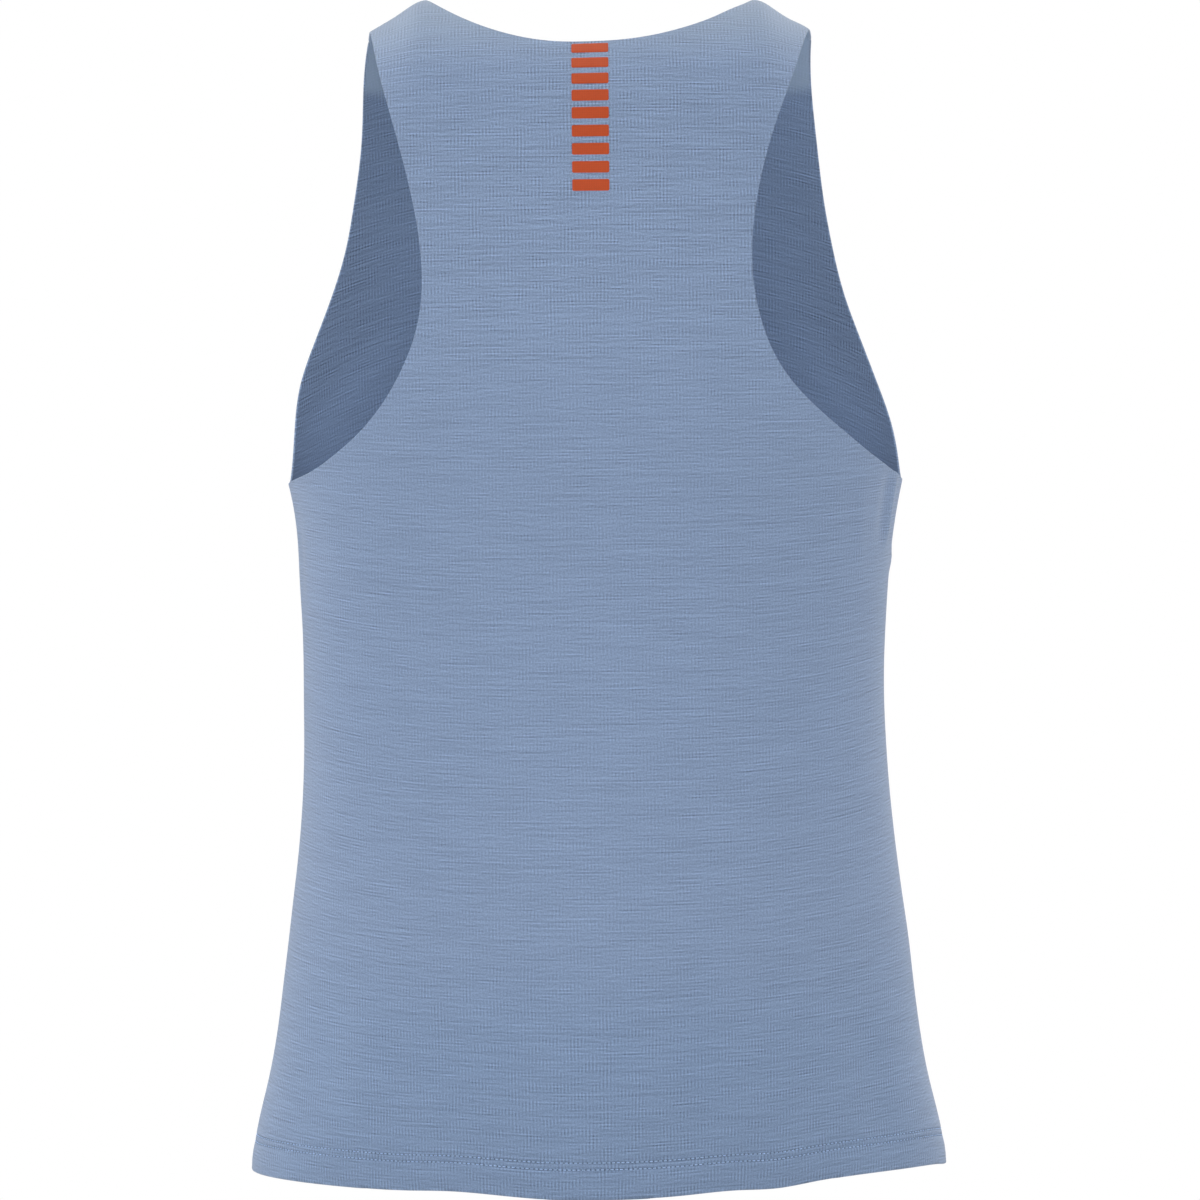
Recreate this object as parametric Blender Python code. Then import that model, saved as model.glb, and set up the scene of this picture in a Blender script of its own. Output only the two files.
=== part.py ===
"""Sleeveless tennis tank top in knitted cloth, filled out as worn and hollow.

Units are metres and +Z is up. The origin lies midway between the undersides of
the two straps, on the shoulder line. The front of the garment faces -Y, so the
wearer's left is +X.

Each panel is a wall of cloth on one form. A place on it is named in the pattern
plane by two numbers:

* angle: how far round the body it lies, from 0 at the side seam to a quarter
  turn at the centre line;
* level: its height, which runs on over the shoulder along the cloth. It equals
  the true height everywhere below the rounding of the shoulder.
"""

import math
from collections import namedtuple

import bmesh
import bpy
import numpy as np

# Cloth and seams
WALL = 0.0012
HEM_TURN_UP = 0.018
HEM_TURN_STEP = 0.0006
SEAM_GAP = 0.0003

# Shoulders: the ridge runs flat over the neck and slopes down to the shoulder tip
NECK_HALF_WIDTH = 0.0875
TIP_HALF_WIDTH = 0.1168
SLOPE_START = 0.0905
SLOPE_ROUNDING = 0.005
SHOULDER_SLOPE = 0.64
SEAM_FORWARD = 0.018
SEAM_HALF_WIDTH = 0.1180

# Hem and underarm
UNDERARM_HEIGHT = -0.2543
HEM_SIDE_HEIGHT = -0.6169
HEM_CENTRE_DROP = 0.0024

# The form over the cloth, from the hem to above the shoulders. Fullness squares
# a section off when positive and makes it leaner beside the seams when negative.
Section = namedtuple("Section", "height half_width back_depth front_depth fullness")
SECTIONS = (
    Section(-0.6200, 0.1843, 0.1180, 0.1160, -0.28),
    Section(-0.6000, 0.1816, 0.1175, 0.1155, -0.27),
    Section(-0.5720, 0.1750, 0.1160, 0.1140, -0.24),
    Section(-0.5200, 0.1667, 0.1095, 0.1100, -0.18),
    Section(-0.4700, 0.1608, 0.1010, 0.1050, -0.11),
    Section(-0.4150, 0.1553, 0.0920, 0.1010, -0.05),
    Section(-0.3650, 0.1536, 0.0870, 0.1000, 0.00),
    Section(-0.3150, 0.1553, 0.0865, 0.1030, 0.03),
    Section(-0.2750, 0.1592, 0.0900, 0.1070, 0.05),
    Section(-0.2543, 0.1628, 0.0930, 0.1090, 0.05),
    Section(-0.2200, 0.1705, 0.0970, 0.1100, 0.05),
    Section(-0.1850, 0.1772, 0.0980, 0.1090, 0.05),
    Section(-0.1000, 0.1770, 0.0940, 0.1000, 0.05),
    Section(0.0000, 0.1750, 0.0890, 0.0900, 0.05),
    Section(0.1200, 0.1750, 0.0880, 0.0890, 0.05),
)

# Armhole edges from the underarm up, by true height, as distances from the centre
# line on the wearer's left (+X) and right. The cloth has settled a little unevenly.
Edge = namedtuple("Edge", "height left right")
BACK_ARMHOLE = (
    Edge(-0.2543, 0.1628, 0.1628),
    Edge(-0.2450, 0.1420, 0.1495),
    Edge(-0.2330, 0.1250, 0.1345),
    Edge(-0.2180, 0.1100, 0.1145),
    Edge(-0.2010, 0.0992, 0.0990),
    Edge(-0.1800, 0.0915, 0.0882),
    Edge(-0.1480, 0.0873, 0.0828),
    Edge(-0.1100, 0.0928, 0.0856),
    Edge(-0.0780, 0.1000, 0.0938),
    Edge(-0.0480, 0.1083, 0.1040),
)
FRONT_ARMHOLE = (
    Edge(-0.2543, 0.1628, 0.1628),
    Edge(-0.2370, 0.1612, 0.1618),
    Edge(-0.2200, 0.1600, 0.1591),
    Edge(-0.2000, 0.1578, 0.1534),
    Edge(-0.1750, 0.1504, 0.1450),
    Edge(-0.1500, 0.1414, 0.1369),
    Edge(-0.1250, 0.1340, 0.1311),
    Edge(-0.1000, 0.1293, 0.1267),
    Edge(-0.0700, 0.1248, 0.1229),
    Edge(-0.0400, 0.1224, 0.1193),
)

# One row per panel: which way it faces, how far below the ridge its cloth starts
# to round over, its neckline, and the armhole height of the row that ends at the
# bottom of the neckline
Cut = namedtuple(
    "Cut", "side rounding neck_depth neck_across neck_down armhole yoke_height seam_forward"
)
BACK = Cut(+1, 0.075, 0.0302, 2.4, 1.0, BACK_ARMHOLE, -0.085, -SEAM_FORWARD + SEAM_GAP / 2)
FRONT = Cut(-1, 0.085, 0.1050, 2.2, 2.2, FRONT_ARMHOLE, -0.120, SEAM_FORWARD + SEAM_GAP / 2)

# Mesh rows and columns. The higher a row's bow, the further it runs level from the
# centre line before it turns to the level of its outer end.
HALF_COLUMNS = 14
ROWS_BELOW_UNDERARM = 11
ROWS_BESIDE_ARMHOLE = 14
ROWS_ON_STRAP = 9
EDGE_SAMPLES = 400
HEM_BOW = 1.2
YOKE_BOW = 2.0

# Transfer print: a column of short bars under the centre back neck
BAR_COUNT = 9
BAR_WIDTH = 0.019
BAR_HEIGHT = 0.006
BAR_PITCH = 0.0093
BAR_FILM = 0.0004
BAR_TOP_BELOW_NECK = 0.0015
BAR_COLUMNS = 4

# Colours as linear red, green, blue, alpha
CLOTH_COLOUR = (0.23, 0.30, 0.44, 1.0)
PRINT_COLOUR = (0.48, 0.07, 0.02, 1.0)
ROUGHNESS = 0.85
SHARP_ANGLE = math.radians(40)

# Half the distance in radians or metres over which slopes of the form are measured
NORMAL_STEP = 1e-4


class Spline:
    """A natural cubic spline through (place, value) pairs, level beyond its ends."""

    def __init__(self, places, values):
        order = np.argsort(places)
        self.places = np.asarray(places, float)[order]
        self.values = np.asarray(values, float)[order]
        spans = np.diff(self.places)
        slopes = np.diff(self.values) / spans
        count = len(self.places)
        matrix = np.eye(count)
        wanted = np.zeros(count)
        for i in range(1, count - 1):
            matrix[i, i - 1 : i + 2] = spans[i - 1], 2 * (spans[i - 1] + spans[i]), spans[i]
            wanted[i] = 6 * (slopes[i] - slopes[i - 1])
        self.bends = np.linalg.solve(matrix, wanted)

    def __call__(self, place):
        place = np.clip(place, self.places[0], self.places[-1])
        i = np.clip(np.searchsorted(self.places, place) - 1, 0, len(self.places) - 2)
        span = self.places[i + 1] - self.places[i]
        after = (place - self.places[i]) / span
        before = 1 - after
        return (
            before * self.values[i]
            + after * self.values[i + 1]
            + ((before**3 - before) * self.bends[i] + (after**3 - after) * self.bends[i + 1])
            * span**2
            / 6
        )


def section_spline(column):
    """A spline of one column of SECTIONS against height."""
    heights = [row.height for row in SECTIONS]
    return Spline(heights, [getattr(row, column) for row in SECTIONS])


HALF_WIDTH = section_spline("half_width")
BACK_DEPTH = section_spline("back_depth")
FRONT_DEPTH = section_spline("front_depth")
FULLNESS = section_spline("fullness")


def ridge_height(x):
    """Height of the cloth along the top of the shoulders."""

    def fall(half_width):
        beyond = np.abs(half_width) - SLOPE_START
        return SHOULDER_SLOPE * (beyond + np.sqrt(beyond**2 + SLOPE_ROUNDING**2)) / 2

    return WALL + fall(NECK_HALF_WIDTH) - fall(x)


def ridge_level(x, cut):
    """Level of the ridge in a panel's pattern plane."""
    return ridge_height(x) + (math.pi / 2 - 1) * cut.rounding


def level_of(x, height, cut):
    """Level of a place given by its true height."""
    drop = ridge_height(x) - height
    if drop >= cut.rounding:
        return height
    return ridge_level(x, cut) - cut.rounding * math.acos(1 - drop / cut.rounding)


def depth_on(side, angle, level):
    """Distance of the form from the plane of the side seams, before any rounding over."""
    depth = np.where(side > 0, BACK_DEPTH(level), FRONT_DEPTH(level))
    return depth * np.sin(angle) * (1 + FULLNESS(level) * np.cos(angle) ** 2)


def on_form(angle, level, cut):
    """The point of the cloth's outer face at an angle and level. Angles past a
    quarter turn lie on the wearer's right, at -X."""
    x = HALF_WIDTH(level) * np.cos(angle)
    ridge = ridge_height(x)
    over = (ridge_level(x, cut) - level) / cut.rounding
    turn = np.clip(over, 0, math.pi / 2)
    near_height = np.where(over < math.pi / 2, ridge - cut.rounding * (1 - np.cos(turn)), level)
    near_y = cut.side * depth_on(cut.side, angle, level) * np.sin(turn)
    other = FRONT if cut is BACK else BACK
    beyond = np.clip(-over * cut.rounding / other.rounding, 0, math.pi / 2)
    far_height = ridge - other.rounding * (1 - np.cos(beyond))
    far_y = -cut.side * depth_on(-cut.side, angle, level) * np.sin(beyond)
    y = np.where(over >= 0, near_y, far_y)
    height = np.where(over >= 0, near_height, far_height)
    return np.stack([x, y, height], axis=-1)


def outward(angle, level, cut):
    """The unit normal of the form, away from the body."""
    step = NORMAL_STEP
    across = on_form(angle + step, level, cut) - on_form(angle - step, level, cut)
    up = on_form(angle, level + step, cut) - on_form(angle, level - step, cut)
    normal = cut.side * np.cross(across, up)
    return normal / np.linalg.norm(normal, axis=-1, keepdims=True)


def angle_at(x, level):
    return math.acos(min(1.0, x / float(HALF_WIDTH(level))))


def seam_level(x, cut):
    """Level of the shoulder seam, which runs forward of the ridge on both panels."""
    return float(ridge_level(x, cut)) - cut.seam_forward


def armhole_spline(cut, mirrored):
    """Distance from the centre line against level, along one armhole up to the seam."""
    widths = [row.right if mirrored else row.left for row in cut.armhole]
    levels = [level_of(x, row.height, cut) for x, row in zip(widths, cut.armhole)]
    if cut is BACK:
        levels.append(float(ridge_level(TIP_HALF_WIDTH, cut)))
        widths.append(TIP_HALF_WIDTH)
    levels.append(seam_level(SEAM_HALF_WIDTH, cut))
    widths.append(SEAM_HALF_WIDTH)
    return Spline(levels, widths)


def even_levels(edge, start, end, count, cut):
    """Levels after start that lie evenly spaced along an armhole edge."""
    levels = start + (end - start) * np.linspace(0, 1, EDGE_SAMPLES) ** 2
    angles = np.arccos(np.minimum(1, edge(levels) / HALF_WIDTH(levels)))
    points = on_form(angles, levels, cut)
    lengths = np.cumsum(np.linalg.norm(np.diff(points, axis=0), axis=1))
    lengths = np.concatenate([[0], lengths])
    return np.interp(np.linspace(0, lengths[-1], count + 1)[1:], lengths, levels)


def neckline(turn, cut):
    """(x, level) on the neckline, from its bottom at turn 0 to the ridge at a quarter turn."""
    x = NECK_HALF_WIDTH * math.sin(turn)
    rest = max(0.0, 1 - math.sin(turn) ** cut.neck_across)
    height = ridge_height(NECK_HALF_WIDTH) - cut.neck_depth * rest ** (1 / cut.neck_down)
    return x, level_of(x, float(height), cut)


# A row of places is given by its two ends and its bow. It follows the shape of the
# ridge in the share given, and is doubled where the hem is turned up behind it.
Row = namedtuple("Row", "inner_angle inner_level outer_angle outer_level bow follow doubled")


def body_rows(cut, mirrored):
    """Rows of one half from the hem up to the bottom of the neckline, each as its two ends."""
    seam_angle = SEAM_GAP / 2 / float(depth_on(cut.side, 1.0, UNDERARM_HEIGHT))
    turn_up_top = HEM_SIDE_HEIGHT + HEM_TURN_UP
    sides = [HEM_SIDE_HEIGHT, HEM_SIDE_HEIGHT + HEM_TURN_UP / 2, turn_up_top]
    sides += np.linspace(turn_up_top + HEM_TURN_STEP, UNDERARM_HEIGHT, ROWS_BELOW_UNDERARM).tolist()
    rows = []
    for side in sides:
        above_hem = (side - HEM_SIDE_HEIGHT) / (UNDERARM_HEIGHT - HEM_SIDE_HEIGHT)
        centre = side - HEM_CENTRE_DROP * (1 - above_hem)
        doubled = side <= turn_up_top
        rows.append(Row(math.pi / 2, centre, seam_angle, side, HEM_BOW, 0.0, doubled))
    edge = armhole_spline(cut, mirrored)
    top_level = level_of(float(edge(cut.yoke_height)), cut.yoke_height, cut)
    neck_level = neckline(0.0, cut)[1]
    outer_levels = even_levels(edge, UNDERARM_HEIGHT, top_level, ROWS_BESIDE_ARMHOLE, cut)
    for i, level in enumerate(outer_levels, 1):
        centre = UNDERARM_HEIGHT + (neck_level - UNDERARM_HEIGHT) * i / ROWS_BESIDE_ARMHOLE
        outer_angle = angle_at(float(edge(level)), level)
        rows.append(Row(math.pi / 2, centre, outer_angle, level, YOKE_BOW, 0.0, False))
    return rows


def strap_rows(cut, mirrored, start_level):
    """Rows of one half from the bottom of the neckline to the shoulder seam."""
    edge = armhole_spline(cut, mirrored)
    end_level = seam_level(SEAM_HALF_WIDTH, cut)
    places = [neckline(math.pi / 2 * i / (ROWS_ON_STRAP - 1), cut) for i in range(1, ROWS_ON_STRAP)]
    if cut is FRONT:
        places.pop()
    places.append((NECK_HALF_WIDTH, seam_level(NECK_HALF_WIDTH, cut)))
    outer_levels = even_levels(edge, start_level, end_level, len(places), cut)
    rows = []
    for i, ((x, level), outer_level) in enumerate(zip(places, outer_levels), 1):
        outer_angle = angle_at(float(edge(outer_level)), outer_level)
        follow = i / len(places)
        bow = YOKE_BOW + (1 - YOKE_BOW) * follow
        rows.append(Row(angle_at(x, level), level, outer_angle, outer_level, bow, follow, False))
    return rows


def place_row(row, cut, mirrored):
    """(angles, levels) of a half row from its inner to its outer end."""
    along = np.linspace(0, 1, HALF_COLUMNS + 1)
    angles = row.inner_angle + (row.outer_angle - row.inner_angle) * along
    levels = row.inner_level + (row.outer_level - row.inner_level) * along**row.bow
    ridge = ridge_level(HALF_WIDTH(levels) * np.cos(angles), cut)
    chord = ridge[0] + (ridge[-1] - ridge[0]) * along
    levels += row.follow * (ridge - chord)
    return (math.pi - angles if mirrored else angles), levels


class Pattern:
    """A panel laid out in its pattern plane: places and the four-sided faces between them."""

    def __init__(self):
        self.angles = []
        self.levels = []
        self.depths = []
        self.faces = []

    def add_row(self, angles, levels, depth):
        """Adds one row of places and returns their numbers."""
        first = len(self.angles)
        self.angles.extend(angles)
        self.levels.extend(levels)
        self.depths.extend([depth] * len(angles))
        return list(range(first, len(self.angles)))

    def add_faces(self, lower, upper):
        """Fills the strip between two rows of the same length."""
        for j in range(len(lower) - 1):
            self.faces.append((lower[j], lower[j + 1], upper[j + 1], upper[j]))

    def border(self):
        """The edges that only one face uses."""
        uses = {}
        for face in self.faces:
            for i, start in enumerate(face):
                end = face[(i + 1) % 4]
                uses.setdefault(frozenset((start, end)), []).append((start, end))
        return [edges[0] for edges in uses.values() if len(edges) == 1]

    def make_wall(self, name, cut, lift, colour):
        """The closed wall of cloth whose outer face is moved out from the form by lift."""
        angles, levels = np.array(self.angles), np.array(self.levels)
        base = on_form(angles, levels, cut)
        normal = outward(angles, levels, cut)
        outer = base + lift * normal
        inner = outer - np.array(self.depths)[:, None] * normal
        mesh = bmesh.new()
        outer_verts = [mesh.verts.new(point) for point in outer]
        inner_verts = [mesh.verts.new(point) for point in inner]
        for face in self.faces:
            mesh.faces.new([outer_verts[i] for i in face])
            mesh.faces.new([inner_verts[i] for i in reversed(face)])
        for start, end in self.border():
            mesh.faces.new(
                [outer_verts[end], outer_verts[start], inner_verts[start], inner_verts[end]]
            )
        bmesh.ops.recalc_face_normals(mesh, faces=mesh.faces)
        bmesh.ops.triangulate(mesh, faces=mesh.faces)
        data = bpy.data.meshes.new(name)
        mesh.to_mesh(data)
        mesh.free()
        data.materials.append(make_material(name, colour))
        data.shade_smooth()
        data.set_sharp_from_angle(angle=SHARP_ANGLE)
        obj = bpy.data.objects.new(name, data)
        bpy.context.scene.collection.objects.link(obj)
        return obj


def make_material(name, colour):
    material = bpy.data.materials.new(name)
    material.use_nodes = True
    shader = material.node_tree.nodes["Principled BSDF"]
    shader.inputs["Base Color"].default_value = colour
    shader.inputs["Roughness"].default_value = ROUGHNESS
    shader.inputs["Metallic"].default_value = 0.0
    return material


def make_panel(name, cut):
    """One panel of the tank as a wall with its hem turned up inside."""
    pattern = Pattern()
    right_rows, left_rows = body_rows(cut, True), body_rows(cut, False)
    lower = None
    for right_row, left_row in zip(right_rows, left_rows):
        right_angles, right_levels = place_row(right_row, cut, True)
        left_angles, left_levels = place_row(left_row, cut, False)
        angles = [*right_angles[::-1], *left_angles[1:]]
        levels = [*right_levels[::-1], *left_levels[1:]]
        upper = pattern.add_row(angles, levels, WALL * (1 + left_row.doubled))
        if lower:
            pattern.add_faces(lower, upper)
        lower = upper
    for mirrored, last_row, start in (
        (True, right_rows[-1], lower[HALF_COLUMNS::-1]),
        (False, left_rows[-1], lower[HALF_COLUMNS:]),
    ):
        lower_strap = start
        for row in strap_rows(cut, mirrored, last_row.outer_level):
            upper = pattern.add_row(*place_row(row, cut, mirrored), WALL)
            pattern.add_faces(lower_strap, upper)
            lower_strap = upper
    return pattern.make_wall(name, cut, 0.0, CLOTH_COLOUR)


def make_bar(name, top_level):
    """One bar of the transfer print, a film lying just off the back panel."""
    half_turn = BAR_WIDTH / 2 / float(HALF_WIDTH(top_level))
    angles = np.linspace(math.pi / 2 + half_turn, math.pi / 2 - half_turn, BAR_COLUMNS + 1)
    pattern = Pattern()
    lower = pattern.add_row(angles, [top_level - BAR_HEIGHT] * len(angles), BAR_FILM)
    upper = pattern.add_row(angles, [top_level] * len(angles), BAR_FILM)
    pattern.add_faces(lower, upper)
    return pattern.make_wall(name, BACK, SEAM_GAP + BAR_FILM, PRINT_COLOUR)


def clear_scene():
    for obj in list(bpy.data.objects):
        bpy.data.objects.remove(obj)


def main():
    clear_scene()
    make_panel("back_panel", BACK)
    make_panel("front_panel", FRONT)
    first_top = neckline(0.0, BACK)[1] - BAR_TOP_BELOW_NECK
    for i in range(BAR_COUNT):
        make_bar(f"transfer_bar_{i + 1}", first_top - i * BAR_PITCH)


if __name__ == "__main__":
    main()
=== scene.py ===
"""Looks of a sleeveless tennis tank top in heathered knit, filled out and hollow.

Units are metres, +Z is up and the front faces -Y, so the wearer's left is +X. The
origin lies midway between the undersides of the straps, on the shoulder line.

A place on the cloth is named in the pattern plane by an angle, from 0 at the
wearer's left side seam through a quarter turn at the centre line to a half turn at
the right side seam, and a level, its height, which runs on over the shoulder along
the cloth. A bearing joins both panels: it is the angle on the back and minus the
angle on the front, so that a fold can run round a side seam.
"""

import logging
import math
from dataclasses import dataclass
from enum import Enum
from typing import Any, Iterable, NamedTuple, Sequence

import bpy
import numpy as np
from mathutils import Matrix, Vector


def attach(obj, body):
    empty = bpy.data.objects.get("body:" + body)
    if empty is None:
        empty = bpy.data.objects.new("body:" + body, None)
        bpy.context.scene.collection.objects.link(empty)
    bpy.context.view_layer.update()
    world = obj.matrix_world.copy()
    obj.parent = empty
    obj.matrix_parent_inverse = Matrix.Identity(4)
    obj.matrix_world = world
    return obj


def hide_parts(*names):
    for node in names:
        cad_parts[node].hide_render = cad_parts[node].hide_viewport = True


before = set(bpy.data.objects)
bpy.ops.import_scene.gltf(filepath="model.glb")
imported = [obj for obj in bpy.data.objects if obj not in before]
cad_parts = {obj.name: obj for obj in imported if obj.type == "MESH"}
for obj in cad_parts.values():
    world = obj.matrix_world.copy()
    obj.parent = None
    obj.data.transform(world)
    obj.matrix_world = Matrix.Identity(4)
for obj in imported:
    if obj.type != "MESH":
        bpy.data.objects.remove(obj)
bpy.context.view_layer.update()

LOG = logging.getLogger("tank_top")
ROOT_BODY = "root"

Array = np.ndarray
Colour = tuple[float, float, float]

QUARTER = math.pi / 2
MILLIMETRE = 0.001


# --------------------------------------------------------------------- the form


class Side(Enum):
    """Which way a panel faces along Y."""

    BACK = 1
    FRONT = -1


class Spline:
    """A natural cubic spline through (place, value) pairs, level beyond its ends."""

    def __init__(self, places: Sequence[float], values: Sequence[float]) -> None:
        """Solves the spline's bends.

        Args:
            places: where the values hold, in any order.
            values: one value for each place.
        """
        order = np.argsort(places)
        self.places = np.asarray(places, float)[order]
        self.values = np.asarray(values, float)[order]
        spans = np.diff(self.places)
        slopes = np.diff(self.values) / spans
        count = len(self.places)
        matrix = np.eye(count)
        wanted = np.zeros(count)
        for i in range(1, count - 1):
            matrix[i, i - 1 : i + 2] = spans[i - 1], 2 * (spans[i - 1] + spans[i]), spans[i]
            wanted[i] = 6 * (slopes[i] - slopes[i - 1])
        self.bends = np.linalg.solve(matrix, wanted)

    @classmethod
    def through(cls, rows: Sequence[tuple], column: str) -> "Spline":
        """A spline through one column of a table whose first column is the place."""
        return cls([row[0] for row in rows], [getattr(row, column) for row in rows])

    def __call__(self, place: Any) -> Array:
        """The values at the given places.

        Args:
            place: where the values are wanted.

        Returns:
            A value for each place.
        """
        place = np.clip(place, self.places[0], self.places[-1])
        i = np.clip(np.searchsorted(self.places, place) - 1, 0, len(self.places) - 2)
        span = self.places[i + 1] - self.places[i]
        after = (place - self.places[i]) / span
        before = 1 - after
        bent = (before**3 - before) * self.bends[i] + (after**3 - after) * self.bends[i + 1]
        return before * self.values[i] + after * self.values[i + 1] + bent * span**2 / 6


def smooth_step(low: float, high: float, value: Any) -> Array:
    """A soft step from 0 at low to 1 at high."""
    share = np.clip((np.asarray(value, float) - low) / (high - low), 0, 1)
    return share * share * (3 - 2 * share)


def unit(vectors: Array) -> Array:
    """The vectors at length one."""
    return vectors / np.maximum(np.linalg.norm(vectors, axis=-1, keepdims=True), 1e-12)


class Section(NamedTuple):
    """One level cut through the form."""

    height: float
    half_width: float
    back_depth: float
    front_depth: float
    fullness: float


class Edge(NamedTuple):
    """Half widths of an armhole edge at one height, on the wearer's left and right."""

    height: float
    left: float
    right: float


SECTIONS = (
    Section(-0.6200, 0.1843, 0.1180, 0.1160, -0.28),
    Section(-0.6000, 0.1816, 0.1175, 0.1155, -0.27),
    Section(-0.5720, 0.1750, 0.1160, 0.1140, -0.24),
    Section(-0.5200, 0.1667, 0.1095, 0.1100, -0.18),
    Section(-0.4700, 0.1608, 0.1010, 0.1050, -0.11),
    Section(-0.4150, 0.1553, 0.0920, 0.1010, -0.05),
    Section(-0.3650, 0.1536, 0.0870, 0.1000, 0.00),
    Section(-0.3150, 0.1553, 0.0865, 0.1030, 0.03),
    Section(-0.2750, 0.1592, 0.0900, 0.1070, 0.05),
    Section(-0.2543, 0.1628, 0.0930, 0.1090, 0.05),
    Section(-0.2200, 0.1705, 0.0970, 0.1100, 0.05),
    Section(-0.1850, 0.1772, 0.0980, 0.1090, 0.05),
    Section(-0.1000, 0.1770, 0.0940, 0.1000, 0.05),
    Section(0.0000, 0.1750, 0.0890, 0.0900, 0.05),
    Section(0.1200, 0.1750, 0.0880, 0.0890, 0.05),
)

BACK_ARMHOLE = (
    Edge(-0.2543, 0.1628, 0.1628),
    Edge(-0.2500, 0.1499, 0.1563),
    Edge(-0.2450, 0.1405, 0.1485),
    Edge(-0.2330, 0.1242, 0.1324),
    Edge(-0.2180, 0.1100, 0.1143),
    Edge(-0.2010, 0.0992, 0.0989),
    Edge(-0.1800, 0.0905, 0.0883),
    Edge(-0.1480, 0.0867, 0.0821),
    Edge(-0.1100, 0.0916, 0.0850),
    Edge(-0.0780, 0.0994, 0.0930),
    Edge(-0.0480, 0.1077, 0.1036),
)

FRONT_ARMHOLE = (
    Edge(-0.2543, 0.1628, 0.1628),
    Edge(-0.2370, 0.1612, 0.1618),
    Edge(-0.2200, 0.1600, 0.1591),
    Edge(-0.2000, 0.1578, 0.1534),
    Edge(-0.1750, 0.1504, 0.1450),
    Edge(-0.1500, 0.1414, 0.1369),
    Edge(-0.1250, 0.1340, 0.1311),
    Edge(-0.1000, 0.1293, 0.1267),
    Edge(-0.0700, 0.1248, 0.1229),
    Edge(-0.0400, 0.1224, 0.1193),
)


@dataclass(frozen=True)
class Cut:
    """How one panel is cut: its neckline and armholes.

    The neckline is a rounded box whose corners are squarer, the higher the powers
    neck_across and neck_down are. The yoke height is the height of the armhole edge
    that the row at the bottom of the neckline runs to.
    """

    side: Side
    neck_depth: float
    neck_across: float
    neck_down: float
    armhole: tuple[Edge, ...]
    yoke_height: float


@dataclass(frozen=True)
class Form:
    """The form under the cloth and the sizes that both panels share."""

    wall: float = 0.0012
    neck_half_width: float = 0.0875
    tip_half_width: float = 0.1168
    slope_start: float = 0.0905
    slope_rounding: float = 0.005
    shoulder_slope: float = 0.64
    seam_half_width: float = 0.1180
    underarm_height: float = -0.2543
    hem_side_height: float = -0.6169
    hem_centre_drop: float = 0.0024
    back_rounding: float = 0.075
    front_rounding: float = 0.085
    seam_forward: float = 0.018
    seam_gap: float = 0.0002
    half_width: Spline = Spline.through(SECTIONS, "half_width")
    back_depth: Spline = Spline.through(SECTIONS, "back_depth")
    front_depth: Spline = Spline.through(SECTIONS, "front_depth")
    fullness: Spline = Spline.through(SECTIONS, "fullness")

    def rounding(self, side: Side) -> float:
        """How far below the ridge that side's cloth starts to round over."""
        return self.back_rounding if side is Side.BACK else self.front_rounding

    def ridge_height(self, x: Any) -> Array:
        """Height of the cloth along the top of the shoulders.

        Args:
            x: half widths.

        Returns:
            A height for each half width.
        """

        def fall(half_width: Any) -> Array:
            """How far the slope has fallen at a half width."""
            beyond = np.abs(half_width) - self.slope_start
            return self.shoulder_slope * (beyond + np.hypot(beyond, self.slope_rounding)) / 2

        return self.wall + fall(self.neck_half_width) - fall(x)

    def ridge_level(self, x: Any, side: Side) -> Array:
        """Level of the ridge in a panel's pattern plane."""
        return self.ridge_height(x) + (QUARTER - 1) * self.rounding(side)

    def level_of(self, x: Any, height: Any, side: Side) -> Array:
        """Level of places given by their true height.

        Args:
            x: half widths.
            height: true heights.
            side: the panel.

        Returns:
            Levels in that panel's pattern plane.
        """
        rounding = self.rounding(side)
        drop = np.clip((self.ridge_height(x) - height) / rounding, 0, 1)
        over = self.ridge_level(x, side) - rounding * np.arccos(1 - drop)
        return np.where(drop >= 1, height, over)

    def depth(self, side: Side, angle: Array, level: Array) -> Array:
        """Distance of the form from the plane of the side seams, before any rounding."""
        depth = self.back_depth(level) if side is Side.BACK else self.front_depth(level)
        return depth * np.sin(angle) * (1 + self.fullness(level) * np.cos(angle) ** 2)

    def point(self, angle: Array, level: Array, side: Side) -> Array:
        """Points of the form's outer face.

        Args:
            angle: angles from the wearer's left side seam.
            level: levels in the pattern plane.
            side: the panel.

        Returns:
            An array of points with one more axis than the angles.
        """
        x = self.half_width(level) * np.cos(angle)
        ridge = self.ridge_height(x)
        near, far = self.rounding(side), self.rounding(Side(-side.value))
        over = (self.ridge_level(x, side) - level) / near
        turn = np.clip(over, 0, QUARTER)
        near_height = np.where(over < QUARTER, ridge - near * (1 - np.cos(turn)), level)
        near_y = side.value * self.depth(side, angle, level) * np.sin(turn)
        beyond = np.clip(-over * near / far, 0, QUARTER)
        far_height = ridge - far * (1 - np.cos(beyond))
        far_depth = self.depth(Side(-side.value), angle, level)
        far_y = -side.value * far_depth * np.sin(beyond)
        y = np.where(over >= 0, near_y, far_y)
        return np.stack([x, y, np.where(over >= 0, near_height, far_height)], axis=-1)

    def normal(self, angle: Array, level: Array, side: Side) -> Array:
        """Unit normals of the form, away from the body.

        Args:
            angle: angles from the wearer's left side seam.
            level: levels in the pattern plane.
            side: the panel.

        Returns:
            An array of unit vectors.
        """
        step = 1e-4
        ahead, behind = self.point(angle + step, level, side), self.point(angle - step, level, side)
        above, below = self.point(angle, level + step, side), self.point(angle, level - step, side)
        return unit(side.value * np.cross(ahead - behind, above - below))

    def hem_level(self, angle: Array) -> Array:
        """Level of the hem edge, a little lower at the centre line."""
        return self.hem_side_height - self.hem_centre_drop * np.sin(angle) ** 1.5

    def angle_at(self, x: Any, level: Any) -> Array:
        """Angle of the places at half width x, on the wearer's left."""
        return np.arccos(np.clip(x / self.half_width(level), -1, 1))


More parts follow.
